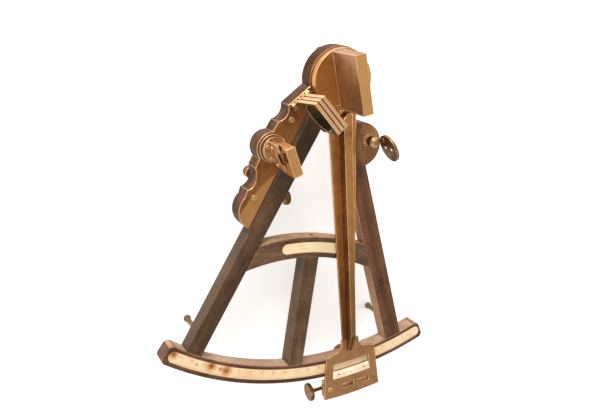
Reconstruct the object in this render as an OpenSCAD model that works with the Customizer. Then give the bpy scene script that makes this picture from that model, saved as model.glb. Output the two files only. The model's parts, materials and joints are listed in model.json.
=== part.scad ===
// Reflecting octant with a dark wood frame, brass fittings and an ivory scale.
// It lies face up on three feet. The origin is the tip of the foot behind the
// round top of the frame, +Y points from the arc to that top, and +Z is up,
// out of the face. Angles on the face are counted from straight down the
// frame's middle, about the index pivot, and grow towards the right.

/* [Frame] */
// Outer radius of the arc, from the index pivot
arc_r = 300; // [250:1:370]
// Width of the arc across its face
arc_w = 18.4; // [17:0.2:24]
// Angle of the arc's left end
arc_left = -27.6; // [-32:0.1:-27]
// Angle of the arc's right end
arc_right = 29.9; // [29.5:0.1:34]
// Corner radius of the arc's ends
arc_corner = 5; // [2:0.5:8]
// Thickness of the radius bars, brace, strut and block
limb_t = 16.2; // [12:0.1:22]
// How far the arc's face stands proud of the bars
arc_proud = 0.7; // [0.2:0.1:0.9]
// How far the round top's face stands proud of the bars
apex_proud = 1; // [0.9:0.1:1.6]
// Radius of the round top
apex_r = 29.8; // [29.2:0.1:38]
// Angle of the left radius bar
left_angle = -22.4; // [-24:0.1:-20]
// Width of the left radius bar
left_w = 16; // [12:0.5:20]
// Angle of the right radius bar
right_angle = 23.4; // [22:0.1:25]
// Width of the right radius bar
right_w = 18; // [13:0.5:20]
// Distance from the pivot to the brace's upper edge, on the middle line
brace_d = 149.2; // [140:1:185]
// Radius of the brace's upper edge
brace_r = 203.2; // [180:1:260]
// Width of the brace
brace_w = 20; // [15:0.5:25]
// Width of the centre strut
strut_w = 15.4; // [10:0.2:22]
// Radius of the round lobe on the right bar
lobe_r = 21.3; // [19:0.1:26]
// Radius of the pencil hole in the brace
pencil_r = 2; // [1:0.1:3.5]
// Depth of the pencil hole
pencil_depth = 10; // [5:1:12]

/* [Inlays] */
// Thickness of the ivory inlays
inlay_t = 1.2; // [0.8:0.1:2]
// Distance from the arc's outer edge to the scale
scale_inset = 4.3; // [3:0.1:6]
// Width of the scale
scale_w = 10.6; // [9:0.1:13]
// Angle of the scale's left end
scale_left = -25.8; // [-26.4:0.1:-25]
// Angle of the scale's right end
scale_right = 28.4; // [27:0.1:28.7]
// Length of the name plate along the brace
name_l = 64.4; // [40:0.5:80]
// Width of the name plate
name_w = 10; // [6:0.5:13]

/* [Feet] */
// Height of the feet
foot_l = 30; // [26:0.5:40]
// Radius of a foot's shank
foot_r = 3.3; // [2.5:0.1:4.5]
// Distance of the top foot behind the pivot
top_foot_d = 21; // [18:0.5:25]
// Distance from the arc's outer edge to the lower feet
low_foot_inset = 35.5; // [28:0.5:60]

/* [Wavy block] */
// Thickness of the brass plate on the block
plate_t = 1.5; // [1:0.1:1.8]
// Radius of the lobe under the horizon mirror
block_lobe_r = 14.4; // [13.5:0.1:16]
// Radius of the block's lower lobe
low_lobe_r = 18.5; // [17:0.1:19]
// Radius of the plate screws' heads
plate_screw_r = 2.9; // [2:0.1:3.5]

/* [Index] */
// Angle at which the index stands
arm_angle = 12; // [-10:0.5:21]
// Thickness of the index arm
arm_t = 2.4; // [1.8:0.1:4]
// Radius of the arm's round head
head_r = 28.7; // [27:0.1:29]
// Thickness of the arm's round head
head_t = 6.3; // [4.5:0.1:8]
// Width of the arm where it leaves the head
arm_top_w = 29.6; // [20:0.2:34]
// Width of the arm above the vernier plate
arm_low_w = 14; // [10:0.2:18]
// Width of the rib at its top
rib_top_w = 9; // [6:0.1:12]
// Width of the rib at its foot
rib_low_w = 4.8; // [3:0.1:6]
// Height of the rib above the arm
rib_h = 10.4; // [5:0.1:10.6]
// Radius of the arbor
arbor_r = 6; // [4.5:0.1:7]
// Radius of the bearing flange
flange_r = 24; // [15:0.5:28]
// Thickness of the bearing flange
flange_t = 0.8; // [0.8:0.1:2]

/* [Vernier] */
// Half width of the vernier plate at its shoulders
vernier_top = 27.9; // [27:0.1:32]
// Half width of the vernier plate at its foot
vernier_low = 32.8; // [32:0.1:36]
// How far the vernier plate reaches past the arc
vernier_past = 25; // [22.5:0.5:32]
// Half width of the vernier plate's neck
neck_half = 9.8; // [8:0.1:12]
// Radius of the coves between neck and shoulders
neck_cove = 8; // [5:0.5:12]
// How far the shoulders fall away towards their outer corners
shoulder_drop = 3; // [0:0.5:6]
// Angle from the index line to either end of the window
window_half = 4.1; // [3:0.1:4.4]
// Width of the ivory vernier
vernier_w = 7.4; // [6.5:0.1:8.5]
// Thickness of the ivory vernier
vernier_t = 1.6; // [1:0.1:2]
// Length of the stud's slot
slot_l = 31.3; // [20:0.1:34]
// Width of the stud's slot
slot_w = 5; // [4:0.1:6]

/* [Tangent screw and clamp] */
// Radius of the tangent screw
tangent_r = 1.8; // [1.2:0.1:2.5]
// Radius of the tangent screw's knob
knob_r = 9.2; // [7:0.1:12]
// Thickness of the tangent screw's knob
knob_t = 3.8; // [3:0.1:6]
// Depth of the tangent screw's line below the arc's face
tangent_depth = 8; // [6:0.1:9]
// Length of the clamp block along the arc
clamp_l = 12; // [9:0.5:14]
// Radius of the clamp screw
clamp_screw_r = 2; // [1.5:0.1:3]
// Radius of the clamp screw's head
clamp_head_r = 7; // [5:0.1:9]

/* [Index mirror] */
// Length of the index mirror's tray
mirror_l = 52.7; // [40:0.1:53]
// Height of the index mirror's tray
mirror_h = 40.9; // [30:0.1:50]
// Depth of the index mirror's tray, front to back
mirror_d = 10.2; // [8:0.1:11]
// Angle between the index line and the mirror
mirror_turn = 7.1; // [0:0.1:15]
// Wall of both mirror trays
tray_wall = 1.4; // [1:0.1:2.2]
// Thickness of both mirror glasses
glass_t = 2.6; // [1.5:0.1:3.2]

/* [Horizon mirror] */
// Angle of the horizon mirror
horizon_turn = 27.3; // [22:0.1:32]
// Radius of the horizon mirror's round base
base_r = 12.9; // [12:0.1:13.8]
// Height of the base
base_t = 2.2; // [1.5:0.1:3]
// Radius of the turntable
table_r = 11.2; // [9.5:0.1:12]
// Height of the turntable
table_t = 3; // [2:0.1:4]
// Radius of the turntable's arbor
table_arbor_r = 4.5; // [3.5:0.1:6]
// Length of the horizon mirror's tray
horizon_l = 26.8; // [22:0.1:28]
// Height of the horizon mirror's tray
horizon_h = 24.9; // [22:0.1:32]
// Depth of the horizon mirror's tray, front to back
horizon_d = 8.9; // [7:0.1:10]
// Height of the angle bracket and the spring plate
bracket_h = 19.9; // [17:0.1:21]
// Thickness of the angle bracket and the spring plate
bracket_t = 1.1; // [0.8:0.1:1.6]
// Thickness of the rear lever
lever_t = 3.4; // [2.5:0.1:4]
// Radius of the adjusting screw's disc head
adjust_r = 6.5; // [4.5:0.1:8]
// Radius of the lever lock screw's knob
lock_r = 5.4; // [4:0.1:6.5]

/* [Shades] */
// Side of a shade's square frame
shade_side = 33.5; // [28:0.5:37]
// Thickness of a shade's frame
shade_t = 3.1; // [2.2:0.1:3.4]
// Distance from one shade to the next
shade_pitch = 4.1; // [3.8:0.1:4.6]
// Height of the leg that joins a shade to its knuckle
shade_leg = 13.7; // [11:0.1:18]
// Narrowest part of the frame round a shade's clear opening
shade_rim = 2.2; // [1.8:0.1:6]
// How far the shades lean outwards
shade_lean = 8.5; // [0:0.5:20]
// Radius of the shades' pin
shade_pin_r = 1.4; // [1:0.1:1.8]

/* [Sight] */
// Radius of the sight disc
sight_r = 13.7; // [10:0.1:14]
// Thickness of the sight disc
sight_t = 2.4; // [2:0.1:5]
// Radius of the two sight holes
pinhole_r = 1.2; // [0.4:0.1:1.5]
// Distance between the two sight holes
pinhole_gap = 9.6; // [6:0.1:14]
// Angle of the sight disc's axis
sight_turn = 31; // [0:0.5:40]

/* [Fits] */
// Radial clearance of a shaft in its hole
running = 0.05; // [0.02:0.01:0.1]
// Gap between flat faces that slide
slip = 0.1; // [0.05:0.01:0.2]
// Gap between the arc's face and the vernier plate
vernier_gap = 0.6; // [0.3:0.1:1]

/* [Hidden] */
$fn = 96;

wood = "#4b3a30";
brass = "#b98a4e";
ivory = "#f0dcb0";
dark_glass = "#1c1a14";
silvered = "#8a7a66";

// Heights of the faces above the surface that the feet stand on
back_z = foot_l;
limb_z = back_z + limb_t;
arc_z = limb_z + arc_proud;
apex_z = limb_z + apex_proud;
plate_z = limb_z + plate_t;
arm_z = apex_z + flange_t + slip;
arm_top_z = arm_z + arm_t;
head_z = arm_z + head_t;
rib_z = arm_top_z + rib_h;
vernier_z = arc_z + vernier_gap;

// Frame
arc_in_r = arc_r - arc_w;
brace_centre = [0, -brace_d - brace_r];
lobe_at = [34.3, -58.5];
low_foot_d = arc_r - low_foot_inset;
stud_r = 2;
stud_l = 9;
foot_flange_r = 5;
foot_flange_t = 2.2;
foot_tip_r = 2.2;

// The block's outer edge, from the round top down to the left bar
horizon_at = [-57.5, -65.8];
block_top = [-26, -6];
block_shoulder = [-47.3, -27.4];
block_beak = [-54.6, -42.8];
block_waist = [-58, -50];
block_heel = [-68.2, -76.5];
block_nose = [-70.8, -84.4];
block_notch = [-69.2, -89.4];
block_cove_top = [-69.3, -93.5];
block_cove_end = [-76, -105.6];
block_swell = [-77.5, -114.6];
block_chin = [-70.5, -137];
block_tail = [-66.6, -144.7];
low_lobe_at = [-62.9, -123.2];
scallop_at = [-58, -31];
scallop_r = 11.75;
cove_at = [-78.5, -95.5];
cove_r = 9.6;
plate_edge_low = [-69.2, -137.3];
plate_edge_high = [-22.9, -17.1];
plate_screw_at = [[-68.9, -111.1], [-42.7, -39.5]];
plate_screw_h = 1.6;

// Index bearing and arm
bush_r = arbor_r + 2.4;
spigot_r = 4;
washer_r = 12;
washer_t = 1.5;
arbor_screw_r = 5.5;
arbor_screw_h = 2.5;
arbor_thread_r = 2;
arbor_thread_l = 12;
arm_low_d = arc_r - 38;
neck_top_d = arc_r - 43;
shoulder_d = arc_r - 26;
rib_end_d = arc_r - 26;
rib_slope_l = 20;
rib_toe_h = 2;
rib_chamfer = 4.5;

// Vernier plate, turned a little against the arm
plate_turn = 0.4;
window_top_r = arc_r - 13.4;
vernier_in_r = arc_r - scale_inset + 0.2;
vernier_out_r = vernier_in_r + vernier_w;
vernier_foot_r = vernier_in_r + 1.2;
vernier_bevel_w = 1.9;
vernier_edge_z = vernier_z + 0.15;
vernier_edge_t = 0.2;
ledge_t = arm_top_z - vernier_z - vernier_t - 0.2;
vernier_top_z = vernier_z + ledge_t + vernier_t;
vernier_pin_r = 0.8;
vernier_pin_turn = 2.8;
vernier_pin_d = vernier_in_r + 2.9;
slot_d = arc_r + 13.3;
stud_x = 6.6;
slide_past = 1.1;
slide_t = 1.5;
tangent_d = arc_r + 16.3;
tangent_z = arc_z - tangent_depth;

// Tangent screw, its bearing and the clamp
bearing_x = [-24.5, -16];
bearing_foot_x = -29;
bearing_foot_t = 5;
bearing_d = [arc_r + 10.5, arc_r + 22];
bearing_h = 13.5;
bearing_screw_at = [-23.2, -arc_r - 13];
bearing_screw_r = 2.7;
bearing_shank_r = 1.4;
bearing_shank_l = 4;
collar_r = 3.2;
collar_t = 1.5;
knob_x = -43;
clamp_near_d = arc_r + 9;
clamp_far_d = arc_r + 22;
clamp_jaw_d = arc_r - 14;
clamp_jaw_t = 3.5;
jaw_gap = 2.5;
shoe_t = 0.8;
shoe_clear = 0.2;
clamp_screw_d = arc_r - 7;
clamp_head_t = 5;
clamp_neck = 3;
stud_cap = [6, 9.4, 0.9];
stud_cap_d = arc_r + 14.6;

// Index mirror
mirror_at = [-3.6, 2];
mirror_base_t = 1.6;
mirror_foot_z = head_z + mirror_base_t;
foot_screw_r = 2;
ear_at = [-4.6, -mirror_l / 2 - 2.6];
ear_r = 2.9;
rear_tab_w = 7;
rear_tab_l = 26;
rear_screw_y = 9;

// Horizon mirror; x is along its axis, towards the eye, and -y is down the mirror
base_z = plate_z + base_t;
table_z = base_z + slip / 2 + table_t;
tray_x = 0.3;
tray_low = -22.3;
spring_x = tray_x - bracket_t;
bracket_x = spring_x - 2 - bracket_t;
bracket_low = -14.9;
bracket_l = 25;
spring_low = -13.4;
spring_l = 22.2;
foot_t = 1.8;
foot_screw_x = bracket_x - 2.1;
foot_screw_y = 5.8;
tilt_screw_y = [4.5, -12];
tilt_screw_z = 6;
small_screw_r = 1;
sight_notch_w = 11;
sight_notch_x = -9.5;
sight_notch_z = 12;
lever_z = back_z - 0.4;
lever_end = [-52, -120.2];
lever_reach = lever_end - horizon_at;
lever_turn = atan2(lever_reach[0], -lever_reach[1]);
lever_l = norm(lever_reach);
lever_hub_r = 9;
lever_w = 6;
lever_neck_r = 3.5;
nut_r = 7;
nut_t = 4;
lock_at = [-66, -93];
lock_shank_r = 1.8;
lock_slack = 1.1;
lock_ear_r = 5.5;
lock_ear_w = 6.8;
lock_ear_l = 12;
lock_ear_turn = 18;
lever_past = 3;
lock_h = 7;
adjust_thread_r = 1.5;
adjust_nut = [5, 7, 6];
adjust_z = lever_z - lever_t - adjust_nut[2] / 2;
post_x = 6.6;
post_size = [5, 8];
adjust_head_x = 25.5;
adjust_head_t = 5;

// Shades; x runs along the pin, +y outwards
hinge_turn = 46;
hinge_y = 12.8;
knuckle_r = 2.8;
pin_z = plate_z + knuckle_r + 0.1;
shade_x = [-37.4, -37.4 - shade_pitch, -37.4 - 2 * shade_pitch];
lug_t = 3;
lug_gap = 0.9;
lug_high_x = shade_x[0] + shade_t / 2 + lug_gap;
lug_low_x = shade_x[2] - shade_t / 2 - lug_gap - lug_t;
bracket_base_t = 1;
bracket_base_w = 6;
leg_out = 2.7;
leg_w = 5.5;
leg_neck_l = 5;
leg_step = 2.7;
glass_lip = 0.8;
shade_glass_t = 2;
shade_hole_r = shade_side / 2 - shade_rim;

// Sight
sight_at = [41, -53.2];
sight_flange_r = 6;
sight_flange_t = 1.4;
sight_neck_r = 4.2;
sight_neck_h = 3.9;
sight_spigot_r = 2;
sight_hub_r = 5;
sight_hub_h = 6.4;
sight_hub_z = limb_z + sight_flange_t + sight_neck_h + slip / 2;
sight_cap_h = 2.6;
sight_offset = [15.5, -4.1];
sight_z = arc_z + 14;
stem_r = 2.1;
stem_z = sight_hub_z + 3.4;
stem_end = [11.6, 2.4];
rim_w = 1.6;
sight_web_t = 0.7;
rim_d = sight_t - sight_web_t;

function pol(r, a) = [r * sin(a), -r * cos(a)];
function beside(a, off, r) = [r * sin(a) + off * cos(a), -r * cos(a) + off * sin(a)];

// Puts what is drawn about the index pivot into the part's own frame
module at_pivot() {
    translate([0, -top_foot_d, 0]) children();
}

// The index arm's frame, where the arm points along -Y
module on_arm() {
    at_pivot() rotate(arm_angle) children();
}

// The horizon mirror's frame, about its arbor
module on_horizon() {
    at_pivot() translate(horizon_at) rotate(horizon_turn) children();
}

// The rear lever's frame, where the lever points along -Y
module on_lever() {
    at_pivot() translate(horizon_at) rotate(lever_turn) children();
}

// The shades' frame, with the pin along X
module on_hinge() {
    at_pivot() rotate(hinge_turn) translate([0, hinge_y, pin_z]) children();
}

// The sight's frame, about its post
module on_sight() {
    at_pivot() translate(sight_at) children();
}

// A prism of a flat shape between two heights
module slab(low, high) {
    translate([0, 0, low]) linear_extrude(high - low) children();
}

// The flat sector of a ring, between two angles
module ring_sector(r_in, r_out, from, to) {
    intersection() {
        difference() {
            circle(r_out);
            circle(r_in);
        }
        polygon([[0, 0], pol(2 * r_out, from), pol(2 * r_out, (from + to) / 2), pol(2 * r_out, to)]);
    }
}

// The flat end of the arc, with round corners; dir is 1 for the right end
module arc_end(angle, dir) {
    rotate(angle) for (r = [arc_in_r + arc_corner, arc_r - arc_corner])
        translate([-dir * arc_corner, -r]) circle(arc_corner);
    rotate(angle) translate([-dir * arc_corner - arc_corner, -arc_r + arc_corner])
        square([2 * arc_corner, arc_w - 2 * arc_corner]);
}

// A sector with half-round ends
module round_ended(r_in, r_out, from, to) {
    mid = (r_in + r_out) / 2;
    ring_sector(r_in, r_out, from, to);
    for (a = [from, to]) translate(pol(mid, a)) circle((r_out - r_in) / 2);
}

// A slotted screw head whose seat is at z = 0
module slotted_head(r, h) {
    difference() {
        cylinder(r1 = r, r2 = r * 0.8, h = h);
        translate([-r, -r * 0.14, h * 0.5]) cube([2 * r, r * 0.28, h]);
    }
}

// A radius bar seen from the front
module bar_shape(angle, width) {
    intersection() {
        circle(arc_in_r);
        difference() {
            rotate(angle) translate([-width / 2, -arc_r]) square([width, arc_r]);
            circle(apex_r);
        }
    }
}

// The space between the two bars, down to the arc
module between_bars() {
    polygon([
        beside(left_angle, left_w / 2, apex_r),
        beside(left_angle, left_w / 2, arc_r),
        beside(right_angle, -right_w / 2, arc_r),
        beside(right_angle, -right_w / 2, apex_r)
    ]);
}

// The scale's flat shape
module scale_shape() {
    round_ended(arc_r - scale_inset - scale_w, arc_r - scale_inset, scale_left, scale_right);
}

// The name plate's flat shape, centred on the brace
module name_shape() {
    mid_r = brace_r - brace_w / 2 + 0.2;
    half = asin((name_l - name_w) / 2 / mid_r);
    translate(brace_centre) rotate(180)
        round_ended(mid_r - name_w / 2, mid_r + name_w / 2, -half, half);
}

// The wavy block seen from the front
module block_shape() {
    difference() {
        union() {
            polygon([
                block_top, block_shoulder, block_beak, block_waist, block_heel, block_nose,
                block_notch, block_cove_top, block_cove_end, block_swell, block_chin, block_tail,
                beside(left_angle, 0, 160), beside(left_angle, 0, 20)
            ]);
            translate(horizon_at) circle(block_lobe_r);
            translate(low_lobe_at) circle(low_lobe_r);
        }
        translate(scallop_at) circle(scallop_r);
        translate(cove_at) circle(cove_r);
        circle(apex_r);
        polygon([
            beside(left_angle, -left_w / 2, 0), beside(left_angle, -left_w / 2, arc_r),
            beside(left_angle, arc_r, arc_r), beside(left_angle, arc_r, 0)
        ]);
    }
}

// A foot of the frame, standing on z = 0, with its stud
module foot() {
    rotate_extrude() polygon([
        [0, 0], [foot_tip_r, 0], [foot_r, foot_r - foot_tip_r + 0.6], [foot_r, foot_l - foot_flange_t - 1],
        [foot_flange_r, foot_l - foot_flange_t], [foot_flange_r, foot_l], [stud_r - running, foot_l],
        [stud_r - running, foot_l + stud_l - 0.5], [0, foot_l + stud_l - 0.5]
    ]);
}

module stud_hole() {
    translate([0, 0, back_z - 1]) cylinder(r = stud_r, h = stud_l + 1);
}

module arc() {
    inner_a = asin(2 * arc_corner / arc_in_r) / 2;
    color(wood) at_pivot() difference() {
        slab(back_z, arc_z) {
            ring_sector(arc_in_r, arc_r, arc_left + inner_a, arc_right - inner_a);
            arc_end(arc_left, -1);
            arc_end(arc_right, 1);
        }
        slab(arc_z - inlay_t, arc_z + 1) scale_shape();
    }
}

module left_bar() {
    color(wood) at_pivot() difference() {
        slab(back_z, limb_z) bar_shape(left_angle, left_w);
        translate(pol(low_foot_d, left_angle)) stud_hole();
    }
}

module right_bar() {
    color(wood) at_pivot() difference() {
        slab(back_z, limb_z) difference() {
            union() {
                bar_shape(right_angle, right_w);
                translate(lobe_at) circle(lobe_r);
            }
            circle(apex_r);
        }
        translate(pol(low_foot_d, right_angle)) stud_hole();
        translate([sight_at[0], sight_at[1], limb_z - 8]) cylinder(r = sight_spigot_r, h = 9);
    }
}

module cross_brace() {
    color(wood) at_pivot() difference() {
        slab(back_z, limb_z) intersection() {
            translate(brace_centre) difference() {
                circle(brace_r);
                circle(brace_r - brace_w);
            }
            between_bars();
        }
        slab(limb_z - inlay_t, limb_z + 1) name_shape();
        translate([0, -brace_d + 1, (back_z + limb_z) / 2]) rotate([90, 0, 0])
            cylinder(r = pencil_r, h = pencil_depth + 1);
    }
}

module centre_strut() {
    color(wood) at_pivot() slab(back_z, limb_z) intersection() {
        translate([-strut_w / 2, -arc_r]) square([strut_w, arc_r - brace_d]);
        translate(brace_centre) circle(brace_r - brace_w);
        circle(arc_in_r);
    }
}

module apex_block() {
    color(wood) at_pivot() difference() {
        slab(back_z, apex_z) difference() {
            circle(apex_r);
            circle(bush_r);
        }
        translate([0, top_foot_d, 0]) stud_hole();
    }
}

module wavy_block() {
    color(wood) at_pivot() difference() {
        slab(back_z, limb_z) block_shape();
        translate(horizon_at) translate([0, 0, back_z - 1])
            cylinder(r = table_arbor_r + running, h = limb_t + 2);
        translate([lock_at[0], lock_at[1], back_z - 1]) cylinder(r = lock_shank_r + running, h = 9);
        for (p = plate_screw_at) translate([p[0], p[1], limb_z - 6]) cylinder(r = 1.3, h = 7);
    }
}

module block_plate() {
    color(brass) at_pivot() difference() {
        slab(limb_z, plate_z) difference() {
            block_shape();
            polygon([
                plate_edge_low, plate_edge_high, [0, 0],
                beside(left_angle, 0, arc_r), 2 * plate_edge_low - plate_edge_high
            ]);
            translate(horizon_at) circle(table_arbor_r + running);
            for (p = plate_screw_at) translate(p) circle(1.3);
        }
    }
}

module plate_screws() {
    color(brass) at_pivot() for (p = plate_screw_at) translate([p[0], p[1], plate_z]) {
        rotate(20) slotted_head(plate_screw_r, plate_screw_h);
        translate([0, 0, -plate_t - 5]) cylinder(r = 1.3 - running, h = plate_t + 5);
    }
}

module arc_scale() {
    color(ivory) at_pivot() slab(arc_z - inlay_t, arc_z) scale_shape();
}

module name_plate() {
    color(ivory) at_pivot() slab(limb_z - inlay_t, limb_z) name_shape();
}

module rear_feet() {
    color(brass) {
        foot();
        at_pivot() for (a = [left_angle, right_angle]) translate(pol(low_foot_d, a)) foot();
    }
}

module bearing_bush() {
    color(brass) at_pivot() difference() {
        union() {
            translate([0, 0, back_z]) cylinder(r = bush_r, h = apex_z - back_z);
            translate([0, 0, apex_z]) cylinder(r = flange_r, h = flange_t);
        }
        translate([0, 0, back_z - 1]) cylinder(r = arbor_r + running, h = limb_t + 4);
    }
}

module index_arbor() {
    low = back_z - slip / 2 - washer_t;
    color(brass) on_arm() difference() {
        union() {
            translate([0, 0, back_z - slip / 2]) cylinder(r = arbor_r, h = arm_z - back_z + slip / 2);
            translate([0, 0, low]) cylinder(r = spigot_r, h = head_z - low);
        }
        translate([0, 0, low - 1]) cylinder(r = arbor_thread_r, h = arbor_thread_l + 1);
    }
}

module arbor_washer() {
    color(brass) on_arm() translate([0, 0, back_z - slip / 2 - washer_t]) difference() {
        cylinder(r = washer_r, h = washer_t);
        translate([0, 0, -1]) cylinder(r = spigot_r + running, h = washer_t + 2);
    }
}

module arbor_screw() {
    seat = back_z - slip / 2 - washer_t;
    color(brass) on_arm() translate([0, 0, seat]) {
        mirror([0, 0, 1]) slotted_head(arbor_screw_r, arbor_screw_h);
        cylinder(r = arbor_thread_r - running, h = arbor_thread_l - 1);
    }
}

module index_arm() {
    color(brass) on_arm() difference() {
        union() {
            translate([0, 0, arm_z]) cylinder(r = head_r, h = head_t);
            slab(arm_z, arm_top_z) polygon([
                [-arm_top_w / 2, -head_r * 0.7], [arm_top_w / 2, -head_r * 0.7],
                [arm_low_w / 2, -arm_low_d], [-arm_low_w / 2, -arm_low_d]
            ]);
        }
        translate([0, 0, arm_z - 1]) cylinder(r = spigot_r + running, h = head_t + 2);
    }
}

module arm_rib() {
    top_d = head_r + 0.2;
    color(brass) on_arm() difference() {
        slab(arm_top_z, rib_z) polygon([
            [-rib_top_w / 2, -top_d - rib_chamfer], [-rib_top_w / 2 + rib_chamfer, -top_d],
            [rib_top_w / 2, -top_d], [rib_low_w / 2, -rib_end_d], [-rib_low_w / 2, -rib_end_d]
        ]);
        translate([0, -rib_end_d, arm_top_z + rib_toe_h])
            rotate([atan2(rib_h - rib_toe_h, rib_slope_l), 0, 0])
            translate([-rib_top_w, -10, 0]) cube([2 * rib_top_w, 60, 30]);
    }
}

// The vernier plate seen from the front
module vernier_outline() {
    intersection() {
        circle(arc_r + vernier_past);
        difference() {
            union() {
                polygon([
                    [-vernier_top, -shoulder_d - shoulder_drop],
                    [-neck_half - neck_cove, -shoulder_d], [neck_half + neck_cove, -shoulder_d],
                    [vernier_top, -shoulder_d - shoulder_drop],
                    [vernier_low, -arc_r - vernier_past - 5], [-vernier_low, -arc_r - vernier_past - 5]
                ]);
                translate([-neck_half - neck_cove, -shoulder_d])
                    square([2 * (neck_half + neck_cove), neck_cove]);
                translate([-neck_half, -shoulder_d]) square([2 * neck_half, shoulder_d - neck_top_d]);
            }
            for (side = [-1, 1]) translate([side * (neck_half + neck_cove), -shoulder_d + neck_cove])
                circle(neck_cove);
        }
    }
}

// The flat shape of the two pins and their holes
module pin_shape(r) {
    rotate(plate_turn) for (a = [-vernier_pin_turn, vernier_pin_turn])
        translate(pol(vernier_pin_d, a)) circle(r);
}

module vernier_plate() {
    color(brass) on_arm() difference() {
        slab(vernier_z, arm_top_z) difference() {
            rotate(plate_turn) difference() {
                vernier_outline();
                ring_sector(window_top_r, vernier_foot_r + 0.1, -window_half, window_half);
            }
            translate([stud_x - slot_l / 2, -slot_d - slot_w / 2]) square([slot_l, slot_w]);
            translate(bearing_screw_at) circle(bearing_shank_r);
        }
        slab(vernier_z + ledge_t, arm_top_z + 1) rotate(plate_turn)
            ring_sector(window_top_r, vernier_out_r + 0.1, -window_half, window_half);
        slab(vernier_z - 1, arm_top_z + 1) pin_shape(vernier_pin_r);
        slab(vernier_z - 1, arm_top_z + 1) translate([-vernier_top, -arm_low_d])
            square([2 * vernier_top, 2 * neck_cove]);
    }
}

// The ivory bevelled down to a thin edge beside the arc's scale
module vernier_scale() {
    half = window_half - 0.03;
    edge_top = vernier_edge_z + vernier_edge_t;
    rise = vernier_top_z - edge_top;
    color(ivory) on_arm() difference() {
        union() {
            slab(vernier_z + ledge_t, vernier_top_z) rotate(plate_turn)
                ring_sector(vernier_in_r, vernier_out_r, -half, half);
            slab(vernier_edge_z, vernier_top_z) rotate(plate_turn)
                ring_sector(vernier_in_r, vernier_foot_r, -half, half);
        }
        translate([0, 0, edge_top])
            cylinder(r1 = vernier_in_r, r2 = vernier_in_r + 2 * vernier_bevel_w, h = 2 * rise);
        slab(vernier_z, vernier_top_z + 1) pin_shape(vernier_pin_r);
    }
}

module vernier_pins() {
    color(brass) on_arm() slab(vernier_z + 0.1, vernier_top_z + 0.1)
        pin_shape(vernier_pin_r - running);
}

module bearing_block() {
    color(brass) on_arm() difference() {
        union() {
            translate([bearing_x[0], -bearing_d[1], vernier_z - bearing_h])
                cube([bearing_x[1] - bearing_x[0], bearing_d[1] - bearing_d[0], bearing_h]);
            translate([bearing_foot_x, -bearing_d[1], vernier_z - bearing_foot_t])
                cube([bearing_x[1] - bearing_foot_x, bearing_d[1] - bearing_d[0], bearing_foot_t]);
        }
        translate([bearing_x[0] - 1, -tangent_d, tangent_z]) rotate([0, 90, 0])
            cylinder(r = tangent_r + running, h = bearing_x[1] - bearing_x[0] + 2);
        translate([bearing_screw_at[0], bearing_screw_at[1], vernier_z - bearing_shank_l - 0.3])
            cylinder(r = bearing_shank_r, h = bearing_shank_l + 1);
    }
}

module bearing_screw() {
    color(brass) on_arm() translate([bearing_screw_at[0], bearing_screw_at[1], arm_top_z]) {
        rotate(8) slotted_head(bearing_screw_r, 1.4);
        translate([0, 0, vernier_z - bearing_shank_l - arm_top_z])
            cylinder(r = bearing_shank_r - running, h = arm_top_z - vernier_z + bearing_shank_l);
    }
}

module clamp_block() {
    jaw_z = back_z - jaw_gap - clamp_jaw_t;
    color(brass) on_arm() difference() {
        union() {
            translate([stud_x - clamp_l / 2, -clamp_far_d, jaw_z])
                cube([clamp_l, clamp_far_d - clamp_near_d, vernier_z - slip - jaw_z]);
            translate([stud_x - clamp_l / 2, -clamp_far_d, jaw_z])
                cube([clamp_l, clamp_far_d - clamp_jaw_d, clamp_jaw_t]);
            translate([stud_x, -slot_d, vernier_z - slip - slide_t]) linear_extrude(slide_t)
                square([slot_l + 2 * slide_past, slot_w + 2 * slide_past], center = true);
            translate([stud_x - 2.3, -slot_d - slot_w / 2 + 0.15, vernier_z - slip - 1])
                cube([4.6, slot_w - 0.3, arm_top_z - vernier_z + slip + 1.2]);
            translate([stud_x - stud_cap[0] / 2, -stud_cap_d - stud_cap[1] / 2, arm_top_z + slip / 2])
                cube(stud_cap);
        }
        translate([stud_x - clamp_l, -tangent_d, tangent_z]) rotate([0, 90, 0])
            cylinder(r = tangent_r + running, h = 2 * clamp_l);
        translate([stud_x, -clamp_screw_d, jaw_z - 1])
            cylinder(r = clamp_screw_r + running, h = clamp_jaw_t + 2);
    }
}

module clamp_shoe() {
    top = back_z - shoe_clear;
    color(brass) on_arm() {
        translate([stud_x - 5, -arc_r + 0.5, top - shoe_t]) cube([10, arc_r - clamp_jaw_d - 1, shoe_t]);
        translate([stud_x - 5, -arc_r + 0.5, back_z - jaw_gap]) cube([10, 1, jaw_gap - shoe_clear]);
    }
}

module clamp_screw() {
    tip = back_z - shoe_clear - shoe_t - slip;
    low = back_z - jaw_gap - clamp_jaw_t - clamp_neck;
    color(brass) on_arm() translate([stud_x, -clamp_screw_d, 0]) {
        translate([0, 0, low]) cylinder(r = clamp_screw_r, h = tip - low);
        translate([0, 0, low - clamp_head_t]) cylinder(r = clamp_head_r, h = clamp_head_t);
    }
}

module tangent_screw() {
    color(brass) on_arm() translate([0, -tangent_d, tangent_z]) rotate([0, 90, 0]) {
        translate([0, 0, knob_x]) cylinder(r = knob_r, h = knob_t);
        translate([0, 0, knob_x]) cylinder(r = tangent_r, h = stud_x + clamp_l / 2 + 4 - knob_x);
        translate([0, 0, bearing_x[0] - slip - collar_t]) cylinder(r = collar_r, h = collar_t);
        translate([0, 0, bearing_x[1] + slip]) cylinder(r = collar_r, h = collar_t);
    }
}

// The index mirror's own frame, on the arm's head
module on_mirror() {
    on_arm() translate(mirror_at) rotate(mirror_turn) children();
}

module mirror_base_holes() {
    translate(ear_at) circle(1.1);
    for (y = [-rear_screw_y, rear_screw_y]) translate([mirror_d / 2 + rear_tab_w / 2, y]) circle(1.1);
}

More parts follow.
